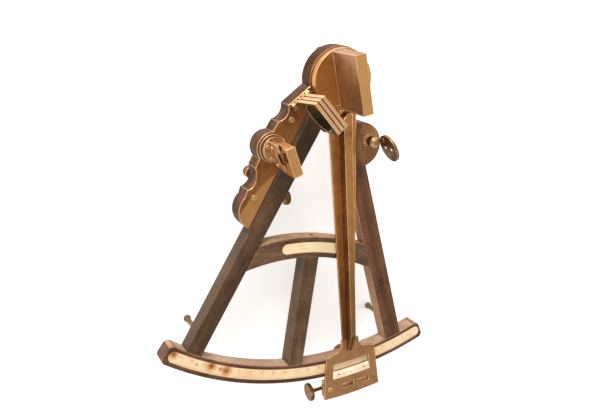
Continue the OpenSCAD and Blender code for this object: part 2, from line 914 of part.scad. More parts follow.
module index_mirror_base() {
    color(brass) on_mirror() slab(head_z, mirror_foot_z) difference() {
        union() {
            translate([-mirror_d / 2, -mirror_l / 2]) square([mirror_d, mirror_l]);
            translate(ear_at) circle(ear_r);
            translate([ear_at[0] - ear_r, ear_at[1]]) square(2 * ear_r);
            translate([mirror_d / 2 - 1, -rear_tab_l / 2]) square([rear_tab_w + 1, rear_tab_l]);
        }
        mirror_base_holes();
    }
}

module mirror_base_screws() {
    color(brass) on_mirror() {
        slab(head_z, mirror_foot_z) base_screw_shanks();
        translate([ear_at[0], ear_at[1], mirror_foot_z]) rotate(35) slotted_head(foot_screw_r, 1.2);
        for (y = [-rear_screw_y, rear_screw_y])
            translate([mirror_d / 2 + rear_tab_w / 2, y, mirror_foot_z]) slotted_head(foot_screw_r, 1.2);
    }
}

module base_screw_shanks() {
    translate(ear_at) circle(1.1 - running);
    for (y = [-rear_screw_y, rear_screw_y])
        translate([mirror_d / 2 + rear_tab_w / 2, y]) circle(1.1 - running);
}

module index_mirror_tray() {
    color(brass) on_mirror() translate([-mirror_d / 2, -mirror_l / 2, mirror_foot_z]) difference() {
        cube([mirror_d, mirror_l, mirror_h]);
        translate([-1, tray_wall, tray_wall])
            cube([glass_t + 1.6, mirror_l - 2 * tray_wall, mirror_h - 2 * tray_wall]);
    }
}

module index_mirror_glass() {
    fit = tray_wall + running;
    color(silvered) on_mirror() translate([-mirror_d / 2 + 0.6, -mirror_l / 2 + fit, mirror_foot_z + fit])
        cube([glass_t, mirror_l - 2 * fit, mirror_h - 2 * fit]);
}

module shade_bracket() {
    low = plate_z - pin_z;
    color(brass) on_hinge() difference() {
        union() {
            translate([lug_low_x, -bracket_base_w, low])
                cube([lug_high_x + lug_t - lug_low_x, bracket_base_w, bracket_base_t]);
            for (x = [lug_low_x, lug_high_x]) {
                translate([x, 0, 0]) rotate([0, 90, 0]) cylinder(r = knuckle_r, h = lug_t);
                translate([x, -knuckle_r, low]) cube([lug_t, 2 * knuckle_r - 1, -low]);
            }
        }
        translate([lug_low_x - 1, 0, 0]) rotate([0, 90, 0])
            cylinder(r = shade_pin_r + running, h = lug_high_x + lug_t - lug_low_x + 2);
        translate([lug_low_x + lug_t, 0, 0]) rotate([0, 90, 0])
            cylinder(r = knuckle_r + 0.3, h = lug_high_x - lug_low_x - lug_t);
    }
}

module shade_pin() {
    low = lug_low_x - 0.4;
    color(brass) on_hinge() {
        translate([low, 0, 0]) rotate([0, 90, 0])
            cylinder(r = shade_pin_r, h = lug_high_x + lug_t + 0.4 - low);
        translate([lug_high_x + lug_t, 0, 0]) rotate([0, 90, 0]) cylinder(r = 2.2, h = 0.9);
    }
}

// The shades lean outwards about the pin
module shade_place(i) {
    on_hinge() rotate([-shade_lean, 0, 0]) translate([shade_x[i] - shade_t / 2, 0, 0]) children();
}

// Centre of the glass in a shade's own frame
function shade_centre() = [0, leg_out - shade_side / 2, shade_leg + shade_side / 2];

module shade_frame(i) {
    color(brass) shade_place(i) difference() {
        union() {
            translate([0, leg_out - shade_side, shade_leg]) cube([shade_t, shade_side, shade_side]);
            translate([0, leg_out - leg_w, 0]) cube([shade_t, leg_w - leg_step, leg_neck_l + 1]);
            translate([0, leg_out - leg_w, leg_neck_l]) cube([shade_t, leg_w, shade_leg + 1 - leg_neck_l]);
            rotate([0, 90, 0]) cylinder(r = knuckle_r, h = shade_t);
        }
        translate([-1, 0, 0]) rotate([0, 90, 0]) cylinder(r = shade_pin_r + running, h = shade_t + 2);
        translate(shade_centre()) translate([-1, 0, 0]) rotate([0, 90, 0])
            cylinder(r = shade_hole_r, h = shade_t + 2);
        translate(shade_centre()) translate([-1, 0, 0]) rotate([0, 90, 0])
            cylinder(r = shade_hole_r + glass_lip, h = shade_glass_t + 1.2);
    }
}

module shade_glass(i) {
    color(dark_glass) shade_place(i) translate(shade_centre()) translate([0.2, 0, 0]) rotate([0, 90, 0])
        cylinder(r = shade_hole_r + glass_lip - running, h = shade_glass_t);
}

module horizon_base() {
    color(brass) on_horizon() translate([0, 0, plate_z]) difference() {
        cylinder(r = base_r, h = base_t);
        translate([0, 0, -1]) cylinder(r = table_arbor_r + running, h = base_t + 2);
    }
}

module horizon_turntable() {
    low = lever_z + slip;
    neck_low = lever_z - lever_t - nut_t;
    color(brass) on_horizon() difference() {
        union() {
            translate([0, 0, base_z + slip / 2]) cylinder(r = table_r, h = table_t);
            translate([0, 0, low]) cylinder(r = table_arbor_r, h = base_z + 1 - low);
            translate([0, 0, neck_low]) cylinder(r = lever_neck_r, h = low - neck_low + 1);
        }
        for (y = [-foot_screw_y, foot_screw_y]) translate([foot_screw_x, y, base_z + 1])
            cylinder(r = small_screw_r, h = table_t);
    }
}

module horizon_bracket() {
    color(brass) on_horizon() difference() {
        union() {
            slab(table_z, table_z + foot_t) difference() {
                circle(table_r - 0.4);
                translate([bracket_x + bracket_t, -table_r]) square(2 * table_r);
                for (y = [-foot_screw_y, foot_screw_y])
                    translate([foot_screw_x, y]) circle(small_screw_r);
            }
            translate([bracket_x, bracket_low, table_z]) cube([bracket_t, bracket_l, bracket_h]);
        }
        translate([bracket_x - 1, sight_notch_x, table_z + sight_notch_z])
            cube([bracket_t + 2, sight_notch_w, bracket_h]);
        for (y = tilt_screw_y) translate([bracket_x - 1, y, table_z + tilt_screw_z])
            rotate([0, 90, 0]) cylinder(r = small_screw_r, h = bracket_t + 2);
    }
}

module horizon_foot_screws() {
    depth = foot_t + 1.4;
    color(brass) on_horizon() for (y = [-foot_screw_y, foot_screw_y])
        translate([foot_screw_x, y, table_z + foot_t]) {
            rotate(70) slotted_head(1.9, 1.2);
            translate([0, 0, -depth]) cylinder(r = small_screw_r - running, h = depth);
        }
}

module horizon_tilt_screws() {
    depth = 2 * bracket_t + 2;
    color(brass) on_horizon() for (y = tilt_screw_y)
        translate([bracket_x, y, table_z + tilt_screw_z]) rotate([0, -90, 0]) {
            slotted_head(1.7, 1.1);
            translate([0, 0, -depth]) cylinder(r = small_screw_r - running, h = depth);
        }
}

module horizon_spring_plate() {
    color(brass) on_horizon() difference() {
        translate([spring_x, spring_low, table_z]) cube([bracket_t, spring_l, bracket_h]);
        translate([spring_x - 1, sight_notch_x, table_z + sight_notch_z])
            cube([bracket_t + 2, sight_notch_w, bracket_h]);
        for (y = tilt_screw_y) translate([spring_x - 1, y, table_z + tilt_screw_z])
            rotate([0, 90, 0]) cylinder(r = small_screw_r, h = bracket_t + 2);
    }
}

module horizon_tray() {
    pocket_x = tray_x + horizon_d - glass_t - 0.6;
    color(brass) on_horizon() difference() {
        translate([tray_x, tray_low, table_z]) cube([horizon_d, horizon_l, horizon_h]);
        translate([pocket_x, tray_low + tray_wall, table_z + tray_wall])
            cube([glass_t + 2, horizon_l - 2 * tray_wall, horizon_h - 2 * tray_wall]);
        translate([tray_x - 1, sight_notch_x, table_z + sight_notch_z])
            cube([horizon_d, sight_notch_w, horizon_h - sight_notch_z - 2 * tray_wall]);
    }
}

module horizon_glass() {
    fit = tray_wall + running;
    color(silvered) on_horizon()
        translate([tray_x + horizon_d - glass_t - 0.6, tray_low + fit, table_z + fit])
        cube([glass_t, horizon_l - 2 * fit, horizon_h - 2 * fit]);
}

module horizon_clip() {
    face = tray_x + horizon_d;
    color(brass) on_horizon() {
        translate([face, tray_low - 0.8, table_z + 8]) cube([1, 4, 10]);
        translate([face - 4, tray_low - 0.8, table_z + 8]) cube([4, 0.8, 10]);
    }
}

module horizon_lever() {
    nut_low = lever_z - lever_t - adjust_nut[2];
    color(brass) difference() {
        union() {
            at_pivot() slab(lever_z - lever_t, lever_z) {
                translate(horizon_at) rotate(lever_turn) {
                    circle(lever_hub_r);
                    translate([-lever_w / 2, -lever_l - lever_past]) square([lever_w, lever_l]);
                }
                translate(lock_at) circle(lock_ear_r);
                translate(lock_at) rotate(lock_ear_turn) translate([0, -lock_ear_w / 2])
                    square([lock_ear_l, lock_ear_w]);
            }
            on_lever() translate([-adjust_nut[0] / 2, -lever_l - adjust_nut[1] / 2, nut_low])
                cube(adjust_nut);
        }
        on_lever() translate([0, 0, lever_z - lever_t - 1])
            cylinder(r = lever_neck_r + running, h = lever_t + 2);
        at_pivot() translate([lock_at[0], lock_at[1], lever_z - lever_t - 1])
            cylinder(r = lock_shank_r + lock_slack, h = lever_t + 2);
        on_lever() translate([-10, -lever_l, adjust_z]) rotate([0, 90, 0])
            cylinder(r = adjust_thread_r + 0.25, h = 20);
    }
}

module horizon_nut() {
    color(brass) on_horizon() translate([0, 0, lever_z - lever_t - nut_t]) difference() {
        cylinder(r = nut_r, h = nut_t, $fn = 6);
        translate([0, 0, -1]) cylinder(r = lever_neck_r + running, h = nut_t + 2);
    }
}

module adjusting_screw() {
    color(brass) on_lever() translate([0, -lever_l, adjust_z]) rotate([0, 90, 0]) {
        translate([0, 0, -5]) cylinder(r = adjust_thread_r, h = adjust_head_x + 5);
        translate([0, 0, adjust_head_x]) cylinder(r = adjust_r, h = adjust_head_t);
        translate([0, 0, post_x + post_size[0] + slip]) cylinder(r = 2.6, h = 1.2);
    }
}

module adjusting_post() {
    low = adjust_z - 3;
    color(brass) on_lever() difference() {
        translate([post_x, -lever_l - post_size[1] / 2, low])
            cube([post_size[0], post_size[1], back_z - low]);
        translate([post_x - 1, -lever_l, adjust_z]) rotate([0, 90, 0])
            cylinder(r = adjust_thread_r + running, h = post_size[0] + 2);
    }
}

module lever_lock_screw() {
    top = lever_z - lever_t - slip / 2;
    color(brass) at_pivot() translate([lock_at[0], lock_at[1], top]) {
        translate([0, 0, -lock_h + 2]) cylinder(r = lock_r, h = lock_h - 3);
        translate([0, 0, -lock_h]) cylinder(r1 = lock_r - 2, r2 = lock_r, h = 2);
        translate([0, 0, -1]) cylinder(r = 3.4, h = 1);
        cylinder(r = lock_shank_r, h = back_z + 7 - top);
    }
}

module sight_post() {
    color(brass) on_sight() translate([0, 0, limb_z]) {
        cylinder(r = sight_flange_r, h = sight_flange_t);
        cylinder(r = sight_neck_r, h = sight_flange_t + sight_neck_h);
        translate([0, 0, -7]) cylinder(r = sight_spigot_r - running, h = 7);
        cylinder(r = sight_spigot_r, h = sight_hub_z + sight_hub_h + 1.5 - limb_z);
    }
}

module sight_disc() {
    span = sight_t / 2;
    color(brass) on_sight() difference() {
        union() {
            translate([0, 0, sight_hub_z]) cylinder(r = sight_hub_r, h = sight_hub_h);
            rotate(atan2(stem_end[1], stem_end[0])) translate([0, 0, stem_z]) rotate([0, 90, 0])
                cylinder(r = stem_r, h = norm(stem_end));
            translate([sight_offset[0], sight_offset[1], sight_z]) rotate(sight_turn) rotate([0, 90, 0])
                translate([0, 0, -span]) cylinder(r = sight_r, h = sight_t);
        }
        translate([0, 0, sight_hub_z - 1]) cylinder(r = sight_spigot_r + running, h = sight_hub_h + 2);
        translate([sight_offset[0], sight_offset[1], sight_z]) rotate(sight_turn) rotate([0, 90, 0]) {
            for (x = [-pinhole_gap / 2, pinhole_gap / 2]) translate([x, 0, -span - 1])
                cylinder(r = pinhole_r, h = sight_t + 2);
            translate([0, 0, span - rim_d]) cylinder(r = sight_r - rim_w, h = rim_d + 1);
        }
    }
}

module sight_cap() {
    color(brass) on_sight() translate([0, 0, sight_hub_z + sight_hub_h + slip / 2]) difference() {
        union() {
            cylinder(r = sight_hub_r - 0.3, h = 0.8);
            translate([0, 0, 0.8])
                cylinder(r1 = sight_hub_r - 0.3, r2 = sight_hub_r - 2.4, h = sight_cap_h - 0.8);
        }
        translate([0, 0, -1]) cylinder(r = sight_spigot_r + running, h = 2.6);
    }
}

arc();
left_bar();
right_bar();
cross_brace();
centre_strut();
apex_block();
wavy_block();
block_plate();
plate_screws();
arc_scale();
name_plate();
rear_feet();
bearing_bush();
index_arbor();
arbor_washer();
arbor_screw();
index_arm();
arm_rib();
vernier_plate();
vernier_scale();
vernier_pins();
bearing_block();
bearing_screw();
clamp_block();
clamp_shoe();
clamp_screw();
tangent_screw();
index_mirror_base();
mirror_base_screws();
index_mirror_tray();
index_mirror_glass();
shade_bracket();
shade_pin();
shade_frame(0);  // shade_frame_1
shade_frame(1);  // shade_frame_2
shade_frame(2);  // shade_frame_3
shade_glass(0);  // shade_glass_1
shade_glass(1);  // shade_glass_2
shade_glass(2);  // shade_glass_3
horizon_base();
horizon_turntable();
horizon_bracket();
horizon_foot_screws();
horizon_tilt_screws();
horizon_spring_plate();
horizon_tray();
horizon_glass();
horizon_clip();
horizon_lever();
horizon_nut();
adjusting_screw();
adjusting_post();
lever_lock_screw();
sight_post();
sight_disc();
sight_cap();
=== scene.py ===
# Reflecting octant of dark wood, old brass and ivory, lying face up on its three feet.
# The pieces follow each other as the maker puts them together: frame, feet, inlays, index,
# clamp, index mirror, shades, horizon mirror and sight. Lengths are in metres.
import json
from math import atan2, cos, pi, radians, sin

import bmesh
import bpy
from mathutils import Matrix, Vector

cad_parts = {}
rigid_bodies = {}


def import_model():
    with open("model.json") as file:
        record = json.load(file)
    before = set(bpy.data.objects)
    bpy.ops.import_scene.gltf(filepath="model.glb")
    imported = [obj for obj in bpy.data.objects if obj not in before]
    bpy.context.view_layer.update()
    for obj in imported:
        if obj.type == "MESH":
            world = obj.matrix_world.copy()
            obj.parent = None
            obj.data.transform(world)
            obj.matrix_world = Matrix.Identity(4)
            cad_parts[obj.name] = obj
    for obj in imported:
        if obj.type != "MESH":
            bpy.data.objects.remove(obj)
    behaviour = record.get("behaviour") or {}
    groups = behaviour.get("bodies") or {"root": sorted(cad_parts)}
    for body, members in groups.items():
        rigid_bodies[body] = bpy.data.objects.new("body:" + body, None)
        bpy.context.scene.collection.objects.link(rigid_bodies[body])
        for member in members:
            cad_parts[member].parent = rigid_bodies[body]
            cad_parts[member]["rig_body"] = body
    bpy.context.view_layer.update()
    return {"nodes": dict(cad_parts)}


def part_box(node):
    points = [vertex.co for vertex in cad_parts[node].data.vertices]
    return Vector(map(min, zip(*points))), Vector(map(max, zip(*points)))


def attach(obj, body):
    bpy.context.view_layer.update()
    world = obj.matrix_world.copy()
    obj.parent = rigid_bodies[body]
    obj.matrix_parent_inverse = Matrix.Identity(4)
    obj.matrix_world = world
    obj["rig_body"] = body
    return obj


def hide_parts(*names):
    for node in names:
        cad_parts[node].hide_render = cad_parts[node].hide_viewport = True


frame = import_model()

# The camera stands where the photographer's did, to the upper left of the face. Its place,
# directions and lens were fitted to the arc, the bars and the scale in the photograph.
camera = bpy.data.objects.new("camera", bpy.data.cameras.new("camera"))
bpy.context.scene.collection.objects.link(camera)
bpy.context.scene.camera = camera
camera_right = Vector((0.87951, 0.14263, 0.45400))
camera_up = Vector((-0.01273, 0.96074, -0.27716))
camera_back = Vector((-0.47571, 0.23799, 0.84680))
camera_turn = Matrix((camera_right, camera_up, camera_back)).transposed().to_4x4()
camera_place = Vector((-0.343235, 0.026645, 0.630753))
camera.matrix_world = Matrix.Translation(camera_place) @ camera_turn
camera.data.sensor_width = 36
camera.data.lens = 43.995
camera.data.clip_start = 0.01
bpy.context.scene.view_settings.view_transform = "Standard"


# The arc is one curved board with its scale let into the face. Its dark wood is oiled and worn:
# edges are paler, pores run along the board, and the finish is mottled by handling.
WOOD_EDGE = 0.0007
SHARP_ANGLE = radians(32)
SAME_POINT = 2e-6
SAME_PLANE = radians(0.5)


def paint(red, green, blue):
    """A display colour, 0 to 255 each, as the linear colour that a shader takes."""
    def linear(value):
        value /= 255
        return value / 12.92 if value <= 0.04045 else ((value + 0.055) / 1.055) ** 2.4
    return (linear(red), linear(green), linear(blue), 1)


def scaled(colour, gain):
    """A shader's colour made lighter or darker by gain."""
    return tuple(min(1, part * gain) for part in colour[:3]) + (1,)


class Finish:
    """A surface finish and the means to build its pattern."""

    def __init__(self, name):
        self.material = bpy.data.materials.new(name)
        self.material.use_nodes = True
        self.tree = self.material.node_tree
        self.shader = self.tree.nodes["Principled BSDF"]

    def add(self, kind, inputs=None, **settings):
        node = self.tree.nodes.new("ShaderNode" + kind)
        for key, value in settings.items():
            setattr(node, key, value)
        for key, value in (inputs or {}).items():
            self.feed(node, key, value)
        return node

    def feed(self, node, key, value):
        if isinstance(value, bpy.types.NodeSocket):
            self.tree.links.new(value, node.inputs[key])
        else:
            node.inputs[key].default_value = value

    def surface(self, **sockets):
        """Feeds the shader's sockets, named with _ for each space."""
        for key, value in sockets.items():
            self.feed(self.shader, key.replace("_", " "), value)

    def places(self, turn=0, stretch=(1, 1, 1)):
        """Places on the piece, with its length turned to X and drawn out by stretch."""
        coordinates = self.add("TexCoord").outputs["Object"]
        mapping = self.add("Mapping", {"Vector": coordinates}, vector_type="TEXTURE")
        mapping.inputs["Rotation"].default_value = (0, 0, turn)
        mapping.inputs["Scale"].default_value = stretch
        return mapping.outputs[0]

    def grain(self, where, scale, detail, rough, twist=0):
        noise = self.add("TexNoise", {
            "Vector": where, "Scale": scale, "Detail": detail, "Roughness": rough, "Distortion": twist})
        return noise.outputs[0]

    def blend(self, share, first, second):
        mix = self.add("Mix", data_type="RGBA")
        for slot, value in ((0, share), (6, first), (7, second)):
            self.feed(mix, slot, value)
        return mix.outputs[2]

    def shades(self, share, stops):
        ramp = self.add("ValToRGB", {"Fac": share})
        elements = ramp.color_ramp.elements
        while len(elements) < len(stops):
            elements.new(0.5)
        for element, (place, colour) in zip(elements, stops):
            element.position = place
            element.color = colour
        return ramp.outputs[0]

    def between(self, value, low, high, to_low=0, to_high=1):
        span = self.add("MapRange", {
            "Value": value, "From Min": low, "From Max": high, "To Min": to_low, "To Max": to_high})
        return span.outputs[0]

    def reckon(self, how, first, second):
        node = self.add("Math", operation=how)
        self.feed(node, 0, first)
        self.feed(node, 1, second)
        return node.outputs[0]

    def weighted(self, *shares):
        """The sum of (value, weight) pairs."""
        value, weight = shares[0]
        total = self.reckon("MULTIPLY", value, weight)
        for value, weight in shares[1:]:
            total = self.reckon("ADD", total, self.reckon("MULTIPLY", value, weight))
        return total

    def patched(self, colour, ragged, patches):
        """The colour with patches of (place, radius, softness, strength, colour) laid over it."""
        where = self.add("TexCoord").outputs["Object"]
        for place, radius, soft, strength, other in patches:
            offset = self.add("VectorMath", {0: where, 1: place}, operation="DISTANCE")
            fray = self.between(ragged, 0, 1, -2 * soft, 2 * soft)
            reach = self.reckon("ADD", offset.outputs["Value"], fray)
            cover = self.between(reach, radius + soft, radius - soft, 0, strength)
            colour = self.blend(cover, colour, other)
        return colour

    def relief(self, height, depth, strength, under=None):
        bump = self.add("Bump", {"Height": height, "Distance": depth, "Strength": strength})
        if under is not None:
            self.feed(bump, "Normal", under)
        return bump.outputs[0]


def wood_finish(name, turn, dark, middle, light, shift, gloss=0.46, sheen=0.3, patches=()):
    """Dark oiled wood whose pores run along the direction turn."""
    wood = Finish(name)
    along = wood.places(turn, (16, 1, 1))
    level = wood.places(turn)
    pores = wood.grain(along, scale=620 + shift, detail=5, rough=0.62, twist=0.3)
    bands = wood.grain(along, scale=95 + shift, detail=3, rough=0.5, twist=0.6)
    clouds = wood.grain(level, scale=34 + shift, detail=4, rough=0.6, twist=0.4)
    handling = wood.grain(level, scale=330 + shift, detail=6, rough=0.68)
    speckle = wood.grain(level, scale=1000 + shift, detail=3, rough=0.6)
    body = wood.weighted((clouds, 0.5), (bands, 0.5))
    body = wood.weighted((body, 0.7), (handling, 0.3))
    colour = wood.shades(body, [(0.36, dark), (0.5, middle), (0.64, light)])
    colour = wood.patched(colour, handling, patches)
    pore_mask = wood.between(pores, 0.30, 0.44, to_low=0.72, to_high=0)
    colour = wood.blend(pore_mask, colour, scaled(dark, 0.55))
    dust = wood.between(speckle, 0.56, 0.72, to_high=0.45)
    colour = wood.blend(dust, colour, scaled(light, 1.6))
    low = wood.relief(pores, depth=0.00012, strength=0.5)
    low = wood.relief(handling, depth=0.00018, strength=0.45, under=low)
    wood.surface(
        Base_Color=colour, Roughness=wood.between(handling, 0.3, 0.7, gloss - 0.1, gloss + 0.14),
        Specular_IOR_Level=sheen, Normal=wood.relief(speckle, depth=0.00006, strength=0.5, under=low))
    return wood.material


def rounded(mesh, width, steps):
    """The mesh with each sharp edge rounded to width. Rounded faces take the second finish."""
    holder = bpy.data.objects.new("rounding", mesh)
    bpy.context.scene.collection.objects.link(holder)
    bevel = holder.modifiers.new("edges", "BEVEL")
    bevel.width = width
    bevel.segments = steps
    bevel.limit_method = "ANGLE"
    bevel.angle_limit = SHARP_ANGLE
    bevel.use_clamp_overlap = False
    bevel.harden_normals = True
    bevel.material = 1
    drawn = holder.evaluated_get(bpy.context.evaluated_depsgraph_get())
    result = bpy.data.meshes.new_from_object(drawn)
    bpy.data.objects.remove(holder)
    return result


def piece(name, mesh, body, slot, finishes, *nodes):
    """A finished piece that rides on a body and stands for its CAD nodes."""
    mesh.name = name
    if not mesh.materials:
        for finish in finishes:
            mesh.materials.append(finish)
    made = bpy.data.objects.new(name, mesh)
    bpy.context.scene.collection.objects.link(made)
    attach(made, body)
    if nodes:
        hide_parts(*nodes)
    return made


def cleaned(node):
    """A CAD node's mesh with its flat faces whole and its corners joined."""
    source = frame["nodes"][node].data
    shape = bmesh.new()
    shape.from_mesh(source)
    bmesh.ops.remove_doubles(shape, verts=shape.verts, dist=SAME_POINT)
    bmesh.ops.dissolve_limit(shape, angle_limit=SAME_PLANE, verts=shape.verts, edges=shape.edges)
    shape.verts.ensure_lookup_table()
    mesh = bpy.data.meshes.new(node)
    corners = [vertex.co.copy() for vertex in shape.verts]
    faces = [[vertex.index for vertex in face.verts] for face in shape.faces]
    shape.free()
    mesh.from_pydata(corners, [], faces)
    mesh.polygons.foreach_set("use_smooth", [True] * len(faces))
    mesh.update()
    return mesh


def dressed(node, slot, finishes, edge, steps=2, picked=None):
    """A CAD node with its edges rounded, in place of the node.

    Faces take the first finish and rounded edges the second. Faces that picked is true for
    take the third."""
    mesh = cleaned(node)
    if picked:
        for face in mesh.polygons:
            if picked(face):
                face.material_index = 2
    for finish in finishes:
        mesh.materials.append(finish)
    mesh = rounded(mesh, edge, steps)
    body = frame["nodes"][node]["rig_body"]
    return piece(node + "_shown", mesh, body, slot, finishes, node)


def wood_set(name, turn, looks, side=None, shift=0.0, patches=(), rub=(1.7, 1.9, 2.0)):
    """The finishes of a board: its face, its rubbed edges and, if given, one of its sides.

    Looks and side are three colours each, dark to light; the side's colours paint the light or shade that
    falls on that side."""
    looks = [paint(*shade) for shade in looks]
    worn = [scaled(shade, gain) for shade, gain in zip(looks, rub)]
    finishes = [
        wood_finish(name, turn, *looks, shift=shift, patches=patches),
        wood_finish(name + "_edge", turn, *worn, shift=shift, gloss=0.36)]
    if side:
        side = [paint(*shade) for shade in side]
        finishes.append(wood_finish(name + "_painted_side_shading", turn, *side, shift=shift, sheen=0.08))
    return finishes


# The arc's inner side, turned towards the key lamp, takes paler colours: painted light.
arc_wood = wood_set(
    "arc_wood", 0, ((60, 36, 22), (92, 60, 40), (122, 84, 58)),
    side=((138, 108, 88), (174, 142, 118), (204, 174, 150)))
dressed("arc", "dark_wood", arc_wood, WOOD_EDGE, steps=3, picked=lambda face: face.normal.y > 0.75)


# The two radius bars, the brace and the strut are flat boards of the same wood, each with its
# grain along its length. They meet in glued joints under the arc and the round top.
LEFT_LEAN = 22.4
RIGHT_LEAN = 23.4
HARDLY_RUBBED = (1.2, 1.3, 1.4)
# A darker, greener patch on the left bar under the shades is a painted shadow of the shades.
painted_shadow_of_shades = ((-0.026, -0.086, 0.0462), 0.024, 0.010, 0.85, paint(54, 38, 12))
left_wood = wood_set(
    "left_bar_wood", radians(90 - LEFT_LEAN), ((50, 33, 20), (78, 55, 35), (104, 76, 52)),
    patches=[painted_shadow_of_shades], rub=HARDLY_RUBBED)
dressed("left_bar", "dark_wood", left_wood, WOOD_EDGE, steps=3)
polished_lobe = ((0.047, -0.076, 0.0462), 0.017, 0.008, 0.85, paint(176, 130, 78))
# The right bar's side that faces left takes paler colours: painted light.
right_wood = wood_set(
    "right_bar_wood", radians(90 + RIGHT_LEAN), ((60, 34, 18), (95, 59, 35), (123, 82, 52)),
    side=((140, 103, 75), (190, 149, 117), (214, 178, 145)), shift=7, patches=[polished_lobe],
    rub=HARDLY_RUBBED)
dressed("right_bar", "dark_wood", right_wood, WOOD_EDGE, steps=3, picked=lambda face: face.normal.x < -0.7)
strut_wood = wood_set(
    "strut_wood", radians(90), ((62, 43, 28), (100, 74, 50), (126, 98, 71)), shift=14, rub=HARDLY_RUBBED)
dressed("centre_strut", "dark_wood", strut_wood, WOOD_EDGE, steps=3)
# The brace's upper side, turned towards the key lamp, takes paler colours: painted light.
brace_wood = wood_set(
    "brace_wood", 0, ((68, 46, 32), (106, 76, 54), (134, 102, 76)),
    side=((128, 100, 76), (178, 142, 110), (208, 174, 140)), shift=21)
dressed("cross_brace", "dark_wood", brace_wood, WOOD_EDGE, steps=3, picked=lambda face: face.normal.y > 0.35)


# The round top carries the index bearing. It is turned from a thick block of the same wood, and
# its front edge stands a little proud and has been rubbed bright.
TOP_EDGE = 0.0012


def upright(face):
    """Tells the sides of a flat piece from its front and back."""
    return abs(face.normal.z) < 0.5


# The round top's upright sides take darker, warmer colours: painted shade.
top_wood = wood_set(
    "top_wood", radians(60), ((62, 40, 22), (94, 64, 40), (122, 88, 58)),
    side=((46, 24, 5), (74, 41, 10), (102, 62, 22)), shift=31)
dressed("apex_block", "dark_wood", top_wood, TOP_EDGE, steps=4, picked=upright)


# The wavy block widens the left bar for the shades and the horizon mirror. It is sawn to a
# pattern of lobes and coves, glued to the bar and faced with brass.
BLOCK_EDGE = 0.0006
# The block's upright sides take darker colours: painted shade.
block_wood = wood_set(
    "block_wood", radians(62), ((62, 42, 30), (94, 68, 52), (124, 94, 74)),
    side=((50, 31, 19), (82, 54, 37), (120, 86, 62)), shift=47)
dressed("wavy_block", "dark_wood", block_wood, BLOCK_EDGE, steps=3, picked=upright)


# The facing plate of the wavy block is rolled brass, filed to the block's outline and held by
# two slotted screws. Old lacquer has browned it, and its lower end is painted paler as painted light.
BRASS_EDGE = 0.00028


def brass_finish(name, turn=0, stretch=(9, 1, 1), bright=(206, 156, 100), brown=(152, 106, 62),
                 amount=0.5, gloss=0.36, patches=()):
    """Old brass with brown lacquer in clouds and fine rubbing marks along one direction."""
    brass = Finish(name)
    level = brass.places(turn)
    along = brass.places(turn, stretch)
    clouds = brass.grain(level, scale=55, detail=7, rough=0.66, twist=0.5)
    spots = brass.grain(level, scale=420, detail=5, rough=0.6)
    marks = brass.grain(along, scale=1500, detail=4, rough=0.6)
    streaks = brass.grain(along, scale=420, detail=3, rough=0.5)
    tarnish = brass.weighted((clouds, 0.64), (spots, 0.24), (streaks, 0.12))
    share = brass.between(tarnish, 0.62 - amount * 0.3, 0.80 - amount * 0.3)
    colour = brass.blend(share, paint(*bright), paint(*brown))
    colour = brass.patched(colour, spots, patches)
    pale = brass.between(marks, 0.58, 0.72, to_high=0.22)
    colour = brass.blend(pale, colour, paint(*(min(255, part + 38) for part in bright)))
    dark_spots = brass.between(spots, 0.68, 0.78, to_high=0.3)
    colour = brass.blend(dark_spots, colour, paint(*(part * 0.6 for part in brown)))
    low = brass.relief(marks, depth=0.00003, strength=0.5)
    brass.surface(
        Base_Color=colour, Metallic=0.86,
        Roughness=brass.between(tarnish, 0.35, 0.65, gloss - 0.08, gloss + 0.16),
        Normal=brass.relief(clouds, depth=0.0006, strength=0.22, under=low))
    return brass.material


def brass_pair(name, **looks):
    """The finish of a brass piece and that of its rubbed edges."""
    face = brass_finish(name, **looks)
    looks.update(bright=(236, 204, 160), brown=(200, 160, 114), gloss=0.32, amount=0.35)
    return [face, brass_finish(name + "_edge", **looks)]


plate_end_painted_light = ((0.01285, -0.189, 0.0477), 0.1013, 0.0007, 0.9, paint(208, 152, 94))
plate_brass = brass_pair(
    "plate_brass", turn=radians(60), stretch=(3, 1, 1), bright=(168, 110, 62), brown=(120, 74, 36),
    gloss=0.4, patches=[plate_end_painted_light])
dressed("block_plate", "old_brass", plate_brass, BRASS_EDGE)


# The slotted screws are cut from brass rod, each with a low head and a filed slot. They hold
# the facing plate, the tangent screw's block, the two mirrors and the index arbor.
SCREW_EDGE = 0.00016
screw_brass = brass_pair(
    "screw_brass", bright=(222, 182, 132), brown=(150, 112, 72), gloss=0.34, amount=0.4)
for screws in ("plate_screws", "bearing_screw", "mirror_base_screws", "horizon_foot_screws",
               "horizon_tilt_screws", "arbor_screw"):
    dressed(screws, "old_brass", screw_brass, SCREW_EDGE)


# The three feet behind the frame are turned brass pillars, each screwed into the wood by its
# thin shank. The octant is laid down on them, and they are duller than its face.
PIVOT = Vector((0, -0.021, 0))
FOOT_RADIUS = 0.2645
CREASE_ANGLE = radians(38)
KNURLED = "knurled"
THREADED = "threaded"
THREAD_PITCH = 0.0007


def polar(radius, angle, height):
    """A point at an angle from straight down, growing to the right, about the pivot."""
    turn = radians(angle)
    return PIVOT + Vector((radius * sin(turn), -radius * cos(turn), height))


def meshed(shape, name):
    """The mesh of a shape that is fully drawn."""
    mesh = bpy.data.meshes.new(name)
    shape.to_mesh(mesh)
    shape.free()
    return mesh


